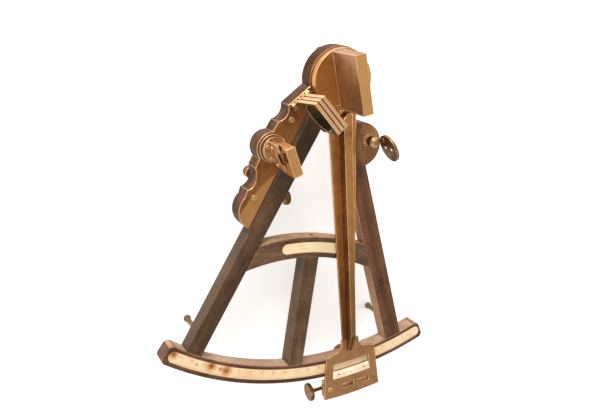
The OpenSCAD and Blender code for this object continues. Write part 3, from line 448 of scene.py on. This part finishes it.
def lathe(profile, around=48, tooth_depth=0.0, thread_depth=0.0):
    """A closed turned shape about Z from (radius, height) points, bottom to top.

    A third entry marks the points that take knurled teeth or a screw thread."""
    shape = bmesh.new()
    rings = []
    for radius, height, *kind in profile:
        ring = []
        for step in range(around):
            turn = 2 * pi * step / around
            reach = radius
            if KNURLED in kind and step % 2 == 0:
                reach -= tooth_depth
            if THREADED in kind:
                place = (height / THREAD_PITCH - turn / (2 * pi)) % 1
                reach -= thread_depth * abs(2 * place - 1)
            ring.append(shape.verts.new((reach * cos(turn), reach * sin(turn), height)))
        rings.append(ring)
    for low, high in zip(rings, rings[1:]):
        for step in range(around):
            after = (step + 1) % around
            shape.faces.new((low[step], low[after], high[after], high[step]))
    shape.faces.new(rings[0][::-1])
    shape.faces.new(rings[-1])
    for face in shape.faces:
        face.smooth = True
    return meshed(shape, "turned")


def sharpened(mesh):
    """The mesh of a turned piece with its corners kept crisp in the light."""
    shape = bmesh.new()
    shape.from_mesh(mesh)
    for edge in shape.edges:
        edge.smooth = len(edge.link_faces) == 2 and edge.calc_face_angle(0) < CREASE_ANGLE
    shape.to_mesh(mesh)
    shape.free()
    return mesh


FOOT_PLACES = [Vector((0, 0, 0)), polar(FOOT_RADIUS, -LEFT_LEAN, 0), polar(FOOT_RADIUS, RIGHT_LEAN, 0)]
foot_brass = brass_finish(
    "foot_brass", stretch=(1, 1, 9), bright=(136, 110, 88), brown=(88, 68, 52), gloss=0.42)
foot_ball = [
    (0.0008, 0), (0.0022, 0), (0.0032, 0.0008), (0.0036, 0.0022), (0.0032, 0.0037), (0.0025, 0.0047)]
foot_pillar = [(0.0022, 0.0070), (0.0023, 0.0180), (0.0028, 0.0245), (0.0033, 0.0262), (0.0033, 0.0270)]
foot_collar = [(0.0047, 0.0276), (0.0050, 0.0281), (0.0050, 0.0297), (0.0048, 0.0300)]
foot_shank = [(0.00195, 0.0300), (0.00195, 0.0384), (0.0008, 0.0385)]
foot = sharpened(lathe(foot_ball + foot_pillar + foot_collar + foot_shank))
feet = bmesh.new()
for place in FOOT_PLACES:
    foot.transform(Matrix.Translation(place))
    feet.from_mesh(foot)
    foot.transform(Matrix.Translation(-place))
piece("rear_feet_shown", meshed(feet, "feet"), "frame", "old_brass", [foot_brass], "rear_feet")


# The scale is a strip of ivory let flush into the arc, yellowed, with brown stains near its left
# end. Its lines are cut and inked. It reads 0 to 100 over 50 degrees of arc, because a mirror
# doubles every angle.
IVORY_EDGE = 0.00015
SCALE_FACE = 0.0469
SCALE_OUTER = 0.2957
SCALE_ZERO = 25.35
SCALE_TOP = 100
NUMBER_RADIUS = 0.2880
NUMBER_SIZE = 0.0034
LONG_MARK = 0.0050
MIDDLE_MARK = 0.0036
SHORT_MARK = 0.0023
MARK_WIDTH = 0.00013
BORDER_START = -25.9
BORDER_SPAN = 54.3
BORDER_PARTS = 110
BORDER_MARGIN = 0.0004
BORDER_DEPTH = 0.0055
BORDER_WIDTH = 0.00011
INK_PROUD = 0.00003
INK_DEPTH = 0.00004


def ivory_finish(name, pale, warm, stains=(), turn=0):
    """Yellowed ivory with faint lines along it, and brown stains at given places."""
    ivory = Finish(name)
    level = ivory.places(turn)
    clouds = ivory.grain(level, scale=48, detail=5, rough=0.6, twist=0.5)
    lines = ivory.grain(ivory.places(turn, (22, 1, 1)), scale=1100, detail=3, rough=0.5)
    fleck = ivory.grain(level, scale=700, detail=5, rough=0.65)
    colour = ivory.blend(ivory.between(clouds, 0.36, 0.66), pale, warm)
    colour = ivory.blend(ivory.between(lines, 0.55, 0.75, to_high=0.4), colour, paint(196, 152, 98))
    for place, size, strength in stains:
        colour = ivory.patched(colour, fleck, [
            (place, size * 0.8, size * 0.35, strength, paint(208, 132, 58)),
            (place, size * 0.36, size * 0.2, strength, paint(120, 62, 24))])
    ivory.surface(
        Base_Color=colour, Roughness=ivory.between(clouds, 0.3, 0.7, 0.34, 0.52),
        Subsurface_Weight=0.12, Subsurface_Radius=(0.0012, 0.0008, 0.0005), Subsurface_Scale=1,
        Normal=ivory.relief(lines, depth=0.00003, strength=0.6))
    return ivory.material


stain_places = [
    ((-0.1270, -0.2790, SCALE_FACE), 0.0055, 0.85),
    ((-0.0892, -0.2946, SCALE_FACE), 0.0062, 0.9),
    ((-0.0735, -0.3005, SCALE_FACE), 0.0060, 0.95),
    ((-0.0800, -0.2985, SCALE_FACE), 0.0030, 0.6),
    ((-0.1040, -0.2915, SCALE_FACE), 0.0022, 0.5),
    ((0.0940, -0.2885, SCALE_FACE), 0.0016, 0.3),
]
scale_ivory = ivory_finish("scale_ivory", paint(255, 232, 196), paint(246, 208, 160), stain_places)
dressed("arc_scale", "ivory", [scale_ivory, scale_ivory], IVORY_EDGE)


def ink_line(shape, start, end, width):
    """Adds a thin bar of ink between two points of a face."""
    side = (end - start).cross(Vector((0, 0, 1))).normalized() * width / 2
    corners = []
    for lift in (-INK_DEPTH, INK_PROUD):
        for point, way in ((start, -1), (start, 1), (end, 1), (end, -1)):
            corners.append(shape.verts.new(point + side * way + Vector((0, 0, lift))))
    low, high = corners[:4], corners[4:]
    shape.faces.new(low[::-1])
    shape.faces.new(high)
    for step in range(4):
        after = (step + 1) % 4
        shape.faces.new((low[step], low[after], high[after], high[step]))


def ink_number(shape, text, size, place, turn):
    """Adds a number in ink that lies flat at a place, with its foot away from the pivot."""
    letters = bpy.data.curves.new("number", "FONT")
    letters.body = text
    letters.size = size
    letters.align_x = "CENTER"
    letters.align_y = "CENTER"
    letters.extrude = (INK_PROUD + INK_DEPTH) / 2
    letters.resolution_u = 3
    holder = bpy.data.objects.new("number", letters)
    bpy.context.scene.collection.objects.link(holder)
    drawn = holder.evaluated_get(bpy.context.evaluated_depsgraph_get())
    mesh = bpy.data.meshes.new_from_object(drawn)
    lift = Vector((0, 0, (INK_PROUD - INK_DEPTH) / 2))
    mesh.transform(Matrix.Translation(place + lift) @ Matrix.Rotation(radians(turn), 4, "Z"))
    shape.from_mesh(mesh)
    bpy.data.objects.remove(holder)
    bpy.data.meshes.remove(mesh)


def ink_finish(name, colour):
    """Old ink, worn thin here and there."""
    ink = Finish(name)
    wear = ink.grain(ink.places(), scale=900, detail=4, rough=0.6)
    thin = ink.between(wear, 0.5, 0.72, to_high=0.8)
    ink.surface(
        Base_Color=ink.blend(thin, colour, paint(232, 194, 148)),
        Roughness=ink.between(wear, 0.3, 0.7, 0.5, 0.75),
        Normal=ink.relief(wear, depth=0.00001, strength=0.4))
    return ink.material


old_ink = ink_finish("old_ink", paint(188, 146, 102))
scale_ink = bmesh.new()
for third in range(-15, 3 * SCALE_TOP + 4):
    angle = SCALE_ZERO - third / 6
    length = LONG_MARK if third % 15 == 0 else MIDDLE_MARK if third % 3 == 0 else SHORT_MARK
    start = polar(SCALE_OUTER - BORDER_MARGIN, angle, SCALE_FACE)
    ink_line(scale_ink, start, polar(SCALE_OUTER - length, angle, SCALE_FACE), MARK_WIDTH)
for degree in range(0, SCALE_TOP + 1, 5):
    angle = SCALE_ZERO - degree / 2
    ink_number(scale_ink, str(degree), NUMBER_SIZE, polar(NUMBER_RADIUS, angle, SCALE_FACE), angle)
for step in range(BORDER_PARTS):
    angle = BORDER_START + step * BORDER_SPAN / BORDER_PARTS
    for radius in (SCALE_OUTER - BORDER_MARGIN, SCALE_OUTER - BORDER_DEPTH):
        after = polar(radius, angle + BORDER_SPAN / BORDER_PARTS, SCALE_FACE)
        ink_line(scale_ink, polar(radius, angle, SCALE_FACE), after, BORDER_WIDTH)
piece("scale_marks", meshed(scale_ink, "scale_marks"), "frame", "ivory", [old_ink])


# The name plate is a plain tablet of the same ivory. It lies flush in a recess of the brace
# and is glued there.
plate_ivory = ivory_finish("plate_ivory", paint(255, 236, 200), paint(255, 218, 172))
dressed("name_plate", "ivory", [plate_ivory, plate_ivory], IVORY_EDGE)


# The index bearing is turned brass: a bush let into the round top, the arbor that runs in it,
# and a washer behind it, held by a screw, that keeps the index from lifting.
TURNED_EDGE = 0.0002
turned_brass = brass_pair(
    "turned_brass", stretch=(1, 1, 9), bright=(218, 178, 130), brown=(156, 118, 78), gloss=0.36)
for turned in ("bearing_bush", "index_arbor", "arbor_washer"):
    dressed(turned, "old_brass", turned_brass, TURNED_EDGE)


# The index is a tapered brass bar with a thick round head, stiffened by a rib along its middle.
# The bar darkens towards its lower end under a painted shadow. The rib's top is bright, and its slopes take
# a darker finish as painted shade.
ARM_LEAN = 12
ARM_TURN = radians(ARM_LEAN)
ALONG_ARM = ARM_TURN + pi / 2
ARM_EDGE = 0.0004
HEAD_FACE = 0.0535
ARM_LOW = (0.052, -0.266, 0.0505)
arm_shadow = (ARM_LOW, 0.070, 0.060, 0.75, paint(124, 82, 44))
arm_brass = brass_pair(
    "arm_brass", turn=ALONG_ARM, stretch=(24, 1, 1), bright=(222, 154, 88), brown=(166, 106, 54),
    amount=0.5, gloss=0.36, patches=[arm_shadow])
head_brass = brass_finish(
    "head_brass", stretch=(1, 1, 1), bright=(214, 150, 80), brown=(174, 114, 52), amount=0.5, gloss=0.42)
dressed(
    "index_arm", "old_brass", arm_brass + [head_brass], ARM_EDGE, steps=3,
    picked=lambda face: face.center.z > HEAD_FACE)
rib_brass = brass_pair(
    "rib_brass", turn=ALONG_ARM, stretch=(24, 1, 1), bright=(210, 150, 88), brown=(156, 104, 54),
    amount=0.45, gloss=0.34, patches=[arm_shadow])
rib_shadow = (ARM_LOW, 0.070, 0.060, 0.7, paint(84, 58, 26))
# The rib's slopes take this darker finish as painted shade, darker still under the painted shadow.
rib_slopes_painted_shade = brass_finish(
    "rib_slopes_painted_shade", turn=ALONG_ARM, stretch=(30, 1, 1), bright=(142, 98, 48), brown=(84, 58, 26),
    amount=0.55, gloss=0.36, patches=[rib_shadow])
dressed(
    "arm_rib", "old_brass", rib_brass + [rib_slopes_painted_shade], ARM_EDGE, steps=3,
    picked=lambda face: face.normal.z < 0.97)


# The vernier plate is sawn from brass sheet and closes the end of the arm. It has a window over
# the scale and a slot for the clamp's stud.
vernier_brass = brass_pair(
    "vernier_brass", turn=ARM_TURN, stretch=(5, 1, 1), bright=(192, 144, 98), brown=(148, 104, 64),
    amount=0.45, gloss=0.44)
dressed("vernier_plate", "old_brass", vernier_brass, BRASS_EDGE)


# The vernier is ivory, pinned under the window, with its edge cut down to the scale. Twenty
# parts stand against thirty-nine of the scale, to split a third of a degree into single minutes.
VERNIER_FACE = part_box("vernier_scale")[1].z
VERNIER_EDGE = 0.2959
VERNIER_EDGE_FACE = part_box("vernier_scale")[0].z + 0.0002
VERNIER_BEVEL = 0.0019
VERNIER_MIDDLE = 12.4
VERNIER_HALF = 3.25
VERNIER_PARTS = 20
VERNIER_LONG = 0.0028
VERNIER_SHORT = 0.0022
VERNIER_NUMBERS = 0.0046
VERNIER_NUMBER_SIZE = 0.0020
VERNIER_LINE = 0.00012
VERNIER_ROUNDING = 0.00012
PIN_EDGE = 0.0001
vernier_ivory = ivory_finish("vernier_ivory", paint(255, 238, 212), paint(248, 220, 184), turn=ARM_TURN)
dressed("vernier_scale", "ivory", [vernier_ivory, vernier_ivory], VERNIER_ROUNDING)
pin_brass = brass_finish("pin_brass", bright=(120, 88, 56), brown=(74, 52, 34), amount=0.5, gloss=0.4)
dressed("vernier_pins", "old_brass", [pin_brass, pin_brass], PIN_EDGE)
vernier_ink = bmesh.new()
for part in range(VERNIER_PARTS + 1):
    angle = VERNIER_MIDDLE + VERNIER_HALF - part * 2 * VERNIER_HALF / VERNIER_PARTS
    length = VERNIER_LONG if part % 5 == 0 else VERNIER_SHORT
    top = polar(VERNIER_EDGE + VERNIER_BEVEL, angle, VERNIER_FACE)
    ink_line(vernier_ink, polar(VERNIER_EDGE, angle, VERNIER_EDGE_FACE), top, VERNIER_LINE)
    ink_line(vernier_ink, top, polar(VERNIER_EDGE + length, angle, VERNIER_FACE), VERNIER_LINE)
    if part % 5 == 0:
        place = polar(VERNIER_EDGE + VERNIER_NUMBERS, angle, VERNIER_FACE)
        ink_number(vernier_ink, str(part), VERNIER_NUMBER_SIZE, place, angle)
piece("vernier_marks", meshed(vernier_ink, "vernier_marks"), "index", "ivory", [old_ink])


# The tangent screw moves the index by small amounts against the clamp. It is brass, with a cut
# thread, two collars and a knurled knob, and turns in a block screwed under the vernier plate.
ON_ARM = Matrix.Translation(PIVOT) @ Matrix.Rotation(ARM_TURN, 4, "Z")
TANGENT_PLACE = Vector((0, -0.3163, 0.0389))
TANGENT_THREAD = 0.0018
THREAD_STEP = 0.0001


def thread(start, end, radius):
    """Profile points of a threaded length, close enough together to cut its thread."""
    count = max(2, round((end - start) / THREAD_STEP))
    return [(radius, start + (end - start) * k / count, THREADED) for k in range(count + 1)]


def knob_rim(radius, low, high, round_off=0.0006):
    """Profile points of a knurled rim with rounded shoulders."""
    return [
        (radius - 2.4 * round_off, low),
        (radius - 1.2 * round_off, low + 0.15 * round_off),
        (radius - 0.35 * round_off, low + 0.55 * round_off, KNURLED),
        (radius, low + 1.2 * round_off, KNURLED),
        (radius, high - 1.2 * round_off, KNURLED),
        (radius - 0.35 * round_off, high - 0.55 * round_off, KNURLED),
        (radius - 1.2 * round_off, high - 0.15 * round_off),
        (radius - 2.4 * round_off, high),
    ]


knurled_brass = [brass_finish(
    "knurled_brass", stretch=(1, 1, 1), bright=(138, 103, 64), brown=(82, 57, 34), amount=0.5, gloss=0.34)]
tangent_boss = [
    (0.0006, -0.0430), (0.0026, -0.0430), (0.0034, -0.0426), (0.0058, -0.0424), (0.0070, -0.0429)]
tangent_neck = [
    (0.0040, -0.0391), (0.0030, -0.0386), (0.0024, -0.0372), (0.0020, -0.0350), (0.0018, -0.0335)]
tangent_collars = [
    (0.0018, -0.0264), (0.0032, -0.0261), (0.0032, -0.0246), (0.0018, -0.0246), (0.0018, -0.0159),
    (0.0032, -0.0159), (0.0032, -0.0144), (0.0018, -0.0140)]
tangent_tip = [(0.0014, 0.0166), (0.0006, 0.0166)]
tangent_mesh = lathe(
    tangent_boss + knob_rim(0.0092, -0.0430, -0.0392) + tangent_neck + tangent_collars
    + thread(-0.0136, 0.0160, TANGENT_THREAD) + tangent_tip,
    around=72, tooth_depth=0.0005, thread_depth=0.00028)
tangent_mesh.transform(ON_ARM @ Matrix.Translation(TANGENT_PLACE) @ Matrix.Rotation(pi / 2, 4, "Y"))
tangent_mesh = sharpened(tangent_mesh)
piece("tangent_screw_shown", tangent_mesh, "tangent", "old_brass", knurled_brass, "tangent_screw")
cast_brass = brass_pair("cast_brass", bright=(196, 146, 92), brown=(136, 94, 54), amount=0.55, gloss=0.42)
dressed("bearing_block", "old_brass", cast_brass, BRASS_EDGE)


# The clamp grips the arc: a brass block with a jaw behind the arc, a leaf spring against the
# wood, and a knurled screw that presses the leaf. The block's stud runs in the plate's slot.
SHOE_EDGE = 0.00012
CLAMP_THREAD = 0.0020
SLIDE_LOW = 0.045
SLIDE_HIGH = 0.0496
# The clamp block's face in the plate's slot is painted pale: painted light against the slot's shade.
slot_face_painted_light = brass_finish(
    "slot_face_painted_light", turn=ARM_TURN, bright=(255, 232, 196), brown=(230, 196, 152), gloss=0.5)
dressed(
    "clamp_block", "old_brass", cast_brass + [slot_face_painted_light], BRASS_EDGE,
    picked=lambda face: face.normal.z > 0.9 and SLIDE_LOW < face.center.z < SLIDE_HIGH)
dressed("clamp_shoe", "old_brass", cast_brass, SHOE_EDGE)
clamp_low, clamp_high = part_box("clamp_screw")
clamp_centre = (clamp_low + clamp_high) / 2
clamp_end = clamp_high.z - clamp_low.z
clamp_boss = [(0.0006, 0), (0.0022, 0), (0.0030, 0.0004), (0.0044, 0.0005), (0.0050, 0.0001)]
clamp_neck = [(0.0034, 0.0050), (0.0026, 0.0056), (0.0020, 0.0066)]
clamp_mesh = lathe(
    clamp_boss + knob_rim(0.0070, 0, 0.0050, round_off=0.0005) + clamp_neck
    + thread(0.0070, clamp_end - 0.0004, CLAMP_THREAD) + [(0.0016, clamp_end)],
    around=64, tooth_depth=0.0004, thread_depth=0.00028)
clamp_mesh.transform(Matrix.Translation((clamp_centre.x, clamp_centre.y, clamp_low.z)))
clamp_mesh = sharpened(clamp_mesh)
piece("clamp_screw_shown", clamp_mesh, "clamp_thumbscrew", "old_brass", knurled_brass, "clamp_screw")


# The index mirror stands across the round head in a brass tray on a screwed base. Its silvering
# has aged to a dark brown sheen with cloudy spots.
MIRROR_TURN = ARM_TURN + radians(7.1)
GLASS_EDGE = 0.0004
base_plate_brass = brass_pair("base_plate_brass", bright=(176, 126, 78), brown=(128, 88, 52), gloss=0.42)
dressed("index_mirror_base", "old_brass", base_plate_brass, BRASS_EDGE)
tray_brass = brass_pair(
    "tray_brass", turn=MIRROR_TURN + pi / 2, stretch=(7, 1, 1), bright=(226, 168, 106), brown=(188, 134, 78),
    amount=0.4, gloss=0.38)
# The tray's end face, turned towards the key lamp, takes a darker finish: painted shade.
tray_end_painted_shade = brass_finish(
    "tray_end_painted_shade", turn=MIRROR_TURN, bright=(168, 132, 98), brown=(132, 100, 70), gloss=0.46)
dressed(
    "index_mirror_tray", "old_brass", tray_brass + [tray_end_painted_shade], BRASS_EDGE,
    picked=lambda face: face.normal.y > 0.9)


def mirror_finish(name, turn):
    """Old silvered glass: a clear coat over a browned metal with clouds and specks."""
    mirror = Finish(name)
    level = mirror.places(turn)
    clouds = mirror.grain(level, scale=70, detail=7, rough=0.7, twist=0.8)
    specks = mirror.grain(level, scale=900, detail=3, rough=0.5)
    colour = mirror.blend(mirror.between(clouds, 0.4, 0.66), paint(186, 134, 92), paint(146, 100, 66))
    colour = mirror.blend(mirror.between(specks, 0.68, 0.76, to_high=0.8), colour, paint(48, 34, 26))
    mirror.surface(
        Base_Color=colour, Metallic=0.6, Coat_Weight=0.3, Coat_Roughness=0.03,
        Roughness=mirror.between(clouds, 0.35, 0.7, 0.3, 0.45),
        Normal=mirror.relief(clouds, depth=0.0001, strength=0.05))
    return mirror.material


index_silver = mirror_finish("index_silver", MIRROR_TURN)
dressed("index_mirror_glass", "silvered_glass", [index_silver, index_silver], GLASS_EDGE)


# Three dark shades hang on one pin between two lugs. Each is a square brass frame on a leg, with
# a round dark glass burnished into it. Its broad faces take a darker finish as painted shade.
SHADE_TURN = radians(46)
SHADE_AXIS = Vector((cos(SHADE_TURN), sin(SHADE_TURN), 0))
SHADE_EDGE = 0.0003
SHADE_TINTS = ((34, 28, 12), (32, 25, 12), (30, 28, 14))
hinge_brass = brass_pair(
    "hinge_brass", turn=SHADE_TURN, bright=(204, 156, 106), brown=(140, 98, 62), amount=0.4, gloss=0.34)
hinge_place = (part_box("shade_pin")[0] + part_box("shade_pin")[1]) / 2
# The frames are darker near the hinge.
darker_near_hinge = (hinge_place, 0.011, 0.003, 0.8, paint(158, 112, 76))
shade_brass = brass_pair(
    "shade_brass", turn=SHADE_TURN + pi / 2, bright=(240, 186, 138), brown=(206, 152, 108), amount=0.4,
    gloss=0.44, patches=[darker_near_hinge])
shade_faces_painted_shade = brass_finish(
    "shade_faces_painted_shade", turn=SHADE_TURN + pi / 2, bright=(118, 78, 22), brown=(80, 50, 10), amount=0.55,
    gloss=0.55)
dressed("shade_bracket", "old_brass", hinge_brass, TURNED_EDGE)
dressed("shade_pin", "old_brass", hinge_brass, TURNED_EDGE)


def glass_finish(name, tint, turn):
    """Dark shade glass with faint streaks and fine scratches."""
    glass = Finish(name)
    streaks = glass.grain(glass.places(turn, (6, 1, 1)), scale=120, detail=4, rough=0.5, twist=0.4)
    scratches = glass.grain(glass.places(turn), scale=1300, detail=3, rough=0.6)
    glass.surface(
        Base_Color=glass.blend(glass.between(streaks, 0.35, 0.7), tint, scaled(tint, 1.7)),
        Roughness=glass.between(scratches, 0.35, 0.75, 0.04, 0.16),
        Transmission_Weight=0.35, IOR=1.52,
        Normal=glass.relief(streaks, depth=0.0001, strength=0.06))
    return glass.material


for number, tint in enumerate(SHADE_TINTS, 1):
    dressed(
        f"shade_frame_{number}", "old_brass", shade_brass + [shade_faces_painted_shade], SHADE_EDGE,
        picked=lambda face: abs(face.normal.dot(SHADE_AXIS)) > 0.9)
    tinted = glass_finish(f"shade_glass_{number}_tint", paint(*tint), SHADE_TURN)
    dressed(f"shade_glass_{number}", "shade_glass", [tinted, tinted], SHADE_EDGE, steps=3)


# The horizon mirror turns on a round brass base over the block's lobe. Its tray leans on a spring
# plate screwed to an angle bracket, and a lever behind the block turns the whole to adjust it.
HORIZON_AXIS = (-0.0575, -0.0868, 0)
HORIZON_TURN = radians(27.3)
BASE_EDGE = 0.0004
FITTING_EDGE = 0.0003


def ringed_finish(name, centre, bright, brown):
    """Turned brass whose tool marks run in rings about an upright axis through centre."""
    brass = Finish(name)
    coordinates = brass.add("TexCoord").outputs["Object"]
    offset = brass.add("VectorMath", {0: coordinates, 1: centre}, operation="SUBTRACT")
    flat = brass.add("VectorMath", {0: offset.outputs[0], 1: (1, 1, 0)}, operation="MULTIPLY")
    radius = brass.add("VectorMath", {0: flat.outputs[0]}, operation="LENGTH").outputs["Value"]
    turning = brass.add("TexNoise", {"W": radius, "Scale": 1400, "Detail": 3}, noise_dimensions="1D")
    rings = turning.outputs[0]
    clouds = brass.grain(brass.places(), scale=160, detail=5, rough=0.6)
    tarnish = brass.weighted((rings, 0.6), (clouds, 0.4))
    brass.surface(
        Base_Color=brass.blend(brass.between(tarnish, 0.42, 0.6), paint(*bright), paint(*brown)),
        Metallic=0.86, Roughness=brass.between(clouds, 0.35, 0.65, 0.34, 0.52),
        Normal=brass.relief(rings, depth=0.00008, strength=0.5))
    return brass.material


base_brass = [
    ringed_finish("base_brass", HORIZON_AXIS, (176, 130, 86), (118, 82, 50)),
    ringed_finish("base_rims", HORIZON_AXIS, (244, 216, 176), (216, 178, 132))]
for turned in ("horizon_base", "horizon_turntable"):
    dressed(turned, "old_brass", base_brass, BASE_EDGE)
horizon_brass = brass_pair(
    "horizon_brass", turn=HORIZON_TURN + pi / 2, stretch=(7, 1, 1), bright=(198, 150, 102),
    brown=(142, 102, 64), amount=0.42, gloss=0.4)
for bent in ("horizon_bracket", "horizon_spring_plate", "horizon_clip"):
    dressed(bent, "old_brass", horizon_brass, TURNED_EDGE)
dressed("horizon_tray", "old_brass", tray_brass, BRASS_EDGE)
horizon_silver = mirror_finish("horizon_silver", HORIZON_TURN)
dressed("horizon_glass", "silvered_glass", [horizon_silver, horizon_silver], GLASS_EDGE)
dressed("horizon_lever", "old_brass", cast_brass, FITTING_EDGE)
dressed("horizon_nut", "old_brass", screw_brass, FITTING_EDGE)
dressed("adjusting_post", "old_brass", cast_brass, FITTING_EDGE)


# The adjusting screw swings the lever from its edge. It is turned brass with a fine thread and a
# knurled disc that a finger turns past the bar's edge.
ADJUST_RADIUS = 0.0015
LEVER_SIDE = 0.0055
LEVER_REACH = 0.0544
lever_turn = Matrix.Rotation(atan2(LEVER_SIDE, LEVER_REACH), 4, "Z")
lever_length = Vector((LEVER_SIDE, LEVER_REACH)).length
adjust_low, adjust_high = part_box("adjusting_screw")
adjust_height = (adjust_low.z + adjust_high.z) / 2
adjust_collar = [
    (ADJUST_RADIUS, 0.0104), (ADJUST_RADIUS, 0.0117), (0.0026, 0.0117), (0.0026, 0.0129),
    (ADJUST_RADIUS, 0.0129)]
adjust_neck = [(ADJUST_RADIUS, 0.0235), (0.0021, 0.0248), (0.0034, 0.0254)]
adjust_hollow = [(0.0044, 0.0304), (0.0040, 0.0301), (0.0020, 0.0301), (0.0008, 0.0303)]
adjust_mesh = lathe(
    [(0.0008, -0.0050)] + thread(-0.0048, 0.0100, ADJUST_RADIUS) + adjust_collar + adjust_neck
    + knob_rim(0.0065, 0.0255, 0.0305, round_off=0.0005) + adjust_hollow,
    around=64, tooth_depth=0.0004, thread_depth=0.00024)
adjust_place = Matrix.Translation((0, -lever_length, adjust_height)) @ Matrix.Rotation(pi / 2, 4, "Y")
adjust_mesh.transform(Matrix.Translation(HORIZON_AXIS) @ lever_turn @ adjust_place)
adjust_mesh = sharpened(adjust_mesh)
piece("adjusting_screw_shown", adjust_mesh, "adjuster", "old_brass", knurled_brass, "adjusting_screw")


# The lock screw is turned brass and pins the lever once the mirror is set. Its knurled head
# stands behind the block.
LOCK_THREAD = 0.0018
lock_low, lock_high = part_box("lever_lock_screw")
lock_centre = (lock_low + lock_high) / 2
lock_length = lock_high.z - lock_low.z
lock_head = [
    (0.0006, 0), (0.0024, 0), (0.0034, 0.0001), (0.0046, 0.0012), (0.0050, 0.0018, KNURLED),
    (0.0054, 0.0023, KNURLED), (0.0054, 0.0053, KNURLED), (0.0051, 0.0058, KNURLED), (0.0044, 0.0060)]
lock_neck = [(0.0034, 0.0060), (0.0034, 0.0070), (0.0018, 0.0070), (0.0018, 0.0110)]
lock_mesh = lathe(
    lock_head + lock_neck + thread(0.0112, lock_length - 0.0004, LOCK_THREAD)
    + [(0.0014, lock_length), (0.0005, lock_length)],
    around=56, tooth_depth=0.0004, thread_depth=0.00024)
lock_mesh.transform(Matrix.Translation((lock_centre.x, lock_centre.y, lock_low.z)))
lock_mesh = sharpened(lock_mesh)
piece("lever_lock_screw_shown", lock_mesh, "lever_lock", "old_brass", knurled_brass, "lever_lock_screw")


# The sight is a turned brass disc with two pinholes. Its stem swivels in a post on the right
# bar's lobe, under a domed cap nut.
sight_brass = brass_pair(
    "sight_brass", stretch=(1, 1, 1), bright=(136, 100, 60), brown=(86, 64, 40), amount=0.6, gloss=0.36)
dressed("sight_post", "old_brass", turned_brass, FITTING_EDGE)
dressed("sight_disc", "old_brass", sight_brass, FITTING_EDGE, steps=3)
dressed("sight_cap", "old_brass", turned_brass, FITTING_EDGE)


# The octant lies on a plain pale floor under soft light: a large lamp low over the round top, a
# weaker one from the right, a third over the arc, and a pale sky that is darker overhead.
FLOOR_HALF = 4.0
SKY_LOW = (0, (0.92, 0.91, 0.89, 1))
SKY_HIGH = (0.85, (0.46, 0.45, 0.44, 1))
LAMP_TARGET = Vector((0, -0.17, 0.04))
floor_mesh = bpy.data.meshes.new("floor")
floor_mesh.from_pydata(
    [(-FLOOR_HALF, -FLOOR_HALF, 0), (FLOOR_HALF, -FLOOR_HALF, 0), (FLOOR_HALF, FLOOR_HALF, 0),
     (-FLOOR_HALF, FLOOR_HALF, 0)], [], [(0, 1, 2, 3)])
floor = bpy.data.objects.new("floor", floor_mesh)
bpy.context.scene.collection.objects.link(floor)


def seen_directly(finish):
    """1 for rays that show the background, straight or through metal and glass."""
    path = finish.add("LightPath")
    seen = finish.reckon("MAXIMUM", path.outputs["Is Camera Ray"], path.outputs["Is Glossy Ray"])
    return finish.reckon("MAXIMUM", seen, path.outputs["Is Transmission Ray"])


floor_paint = Finish("floor_paint")
floor_cloud = floor_paint.grain(floor_paint.places(), scale=3, detail=2, rough=0.5)
floor_paint.surface(
    Base_Color=floor_paint.blend(floor_cloud, (0.86, 0.86, 0.85, 1), (0.90, 0.90, 0.89, 1)),
    Roughness=0.9, Specular_IOR_Level=0.1, Emission_Color=(1, 1, 1, 1),
    Emission_Strength=floor_paint.reckon("MULTIPLY", seen_directly(floor_paint), 0.5))
floor_mesh.materials.append(floor_paint.material)

world = bpy.data.worlds.new("room")
bpy.context.scene.world = world
world.use_nodes = True
room = world.node_tree
sky = room.nodes["Background"]
direction = room.nodes.new("ShaderNodeTexCoord")
split = room.nodes.new("ShaderNodeSeparateXYZ")
fade = room.nodes.new("ShaderNodeValToRGB")
room.links.new(direction.outputs["Generated"], split.inputs[0])
room.links.new(split.outputs["Z"], fade.inputs["Fac"])
room.links.new(fade.outputs[0], sky.inputs["Color"])
for end, (height, colour) in zip(fade.color_ramp.elements, (SKY_LOW, SKY_HIGH)):
    end.position = height
    end.color = colour
sky.inputs["Strength"].default_value = 0.9


def soft_lamp(name, toward, distance, size, power, colour):
    """A square lamp that looks at the middle of the octant from a direction."""
    lamp = bpy.data.objects.new(name, bpy.data.lights.new(name, "AREA"))
    bpy.context.scene.collection.objects.link(lamp)
    lamp.data.shape = "SQUARE"
    lamp.data.size = size
    lamp.data.energy = power
    lamp.data.color = colour
    way = Vector(toward).normalized()
    aim = way.to_track_quat("Z", "Y").to_matrix().to_4x4()
    lamp.matrix_world = Matrix.Translation(LAMP_TARGET + way * distance) @ aim


soft_lamp("key_lamp", (-0.42, 0.85, 0.42), distance=1.7, size=0.9, power=30, colour=(1, 0.96, 0.90))
soft_lamp("fill_lamp", (0.9, 0.1, 0.35), distance=1.9, size=0.8, power=11, colour=(1, 0.95, 0.88))
soft_lamp("front_lamp", (-0.3, -0.75, 0.6), distance=1.9, size=1.2, power=7, colour=(1, 0.97, 0.92))
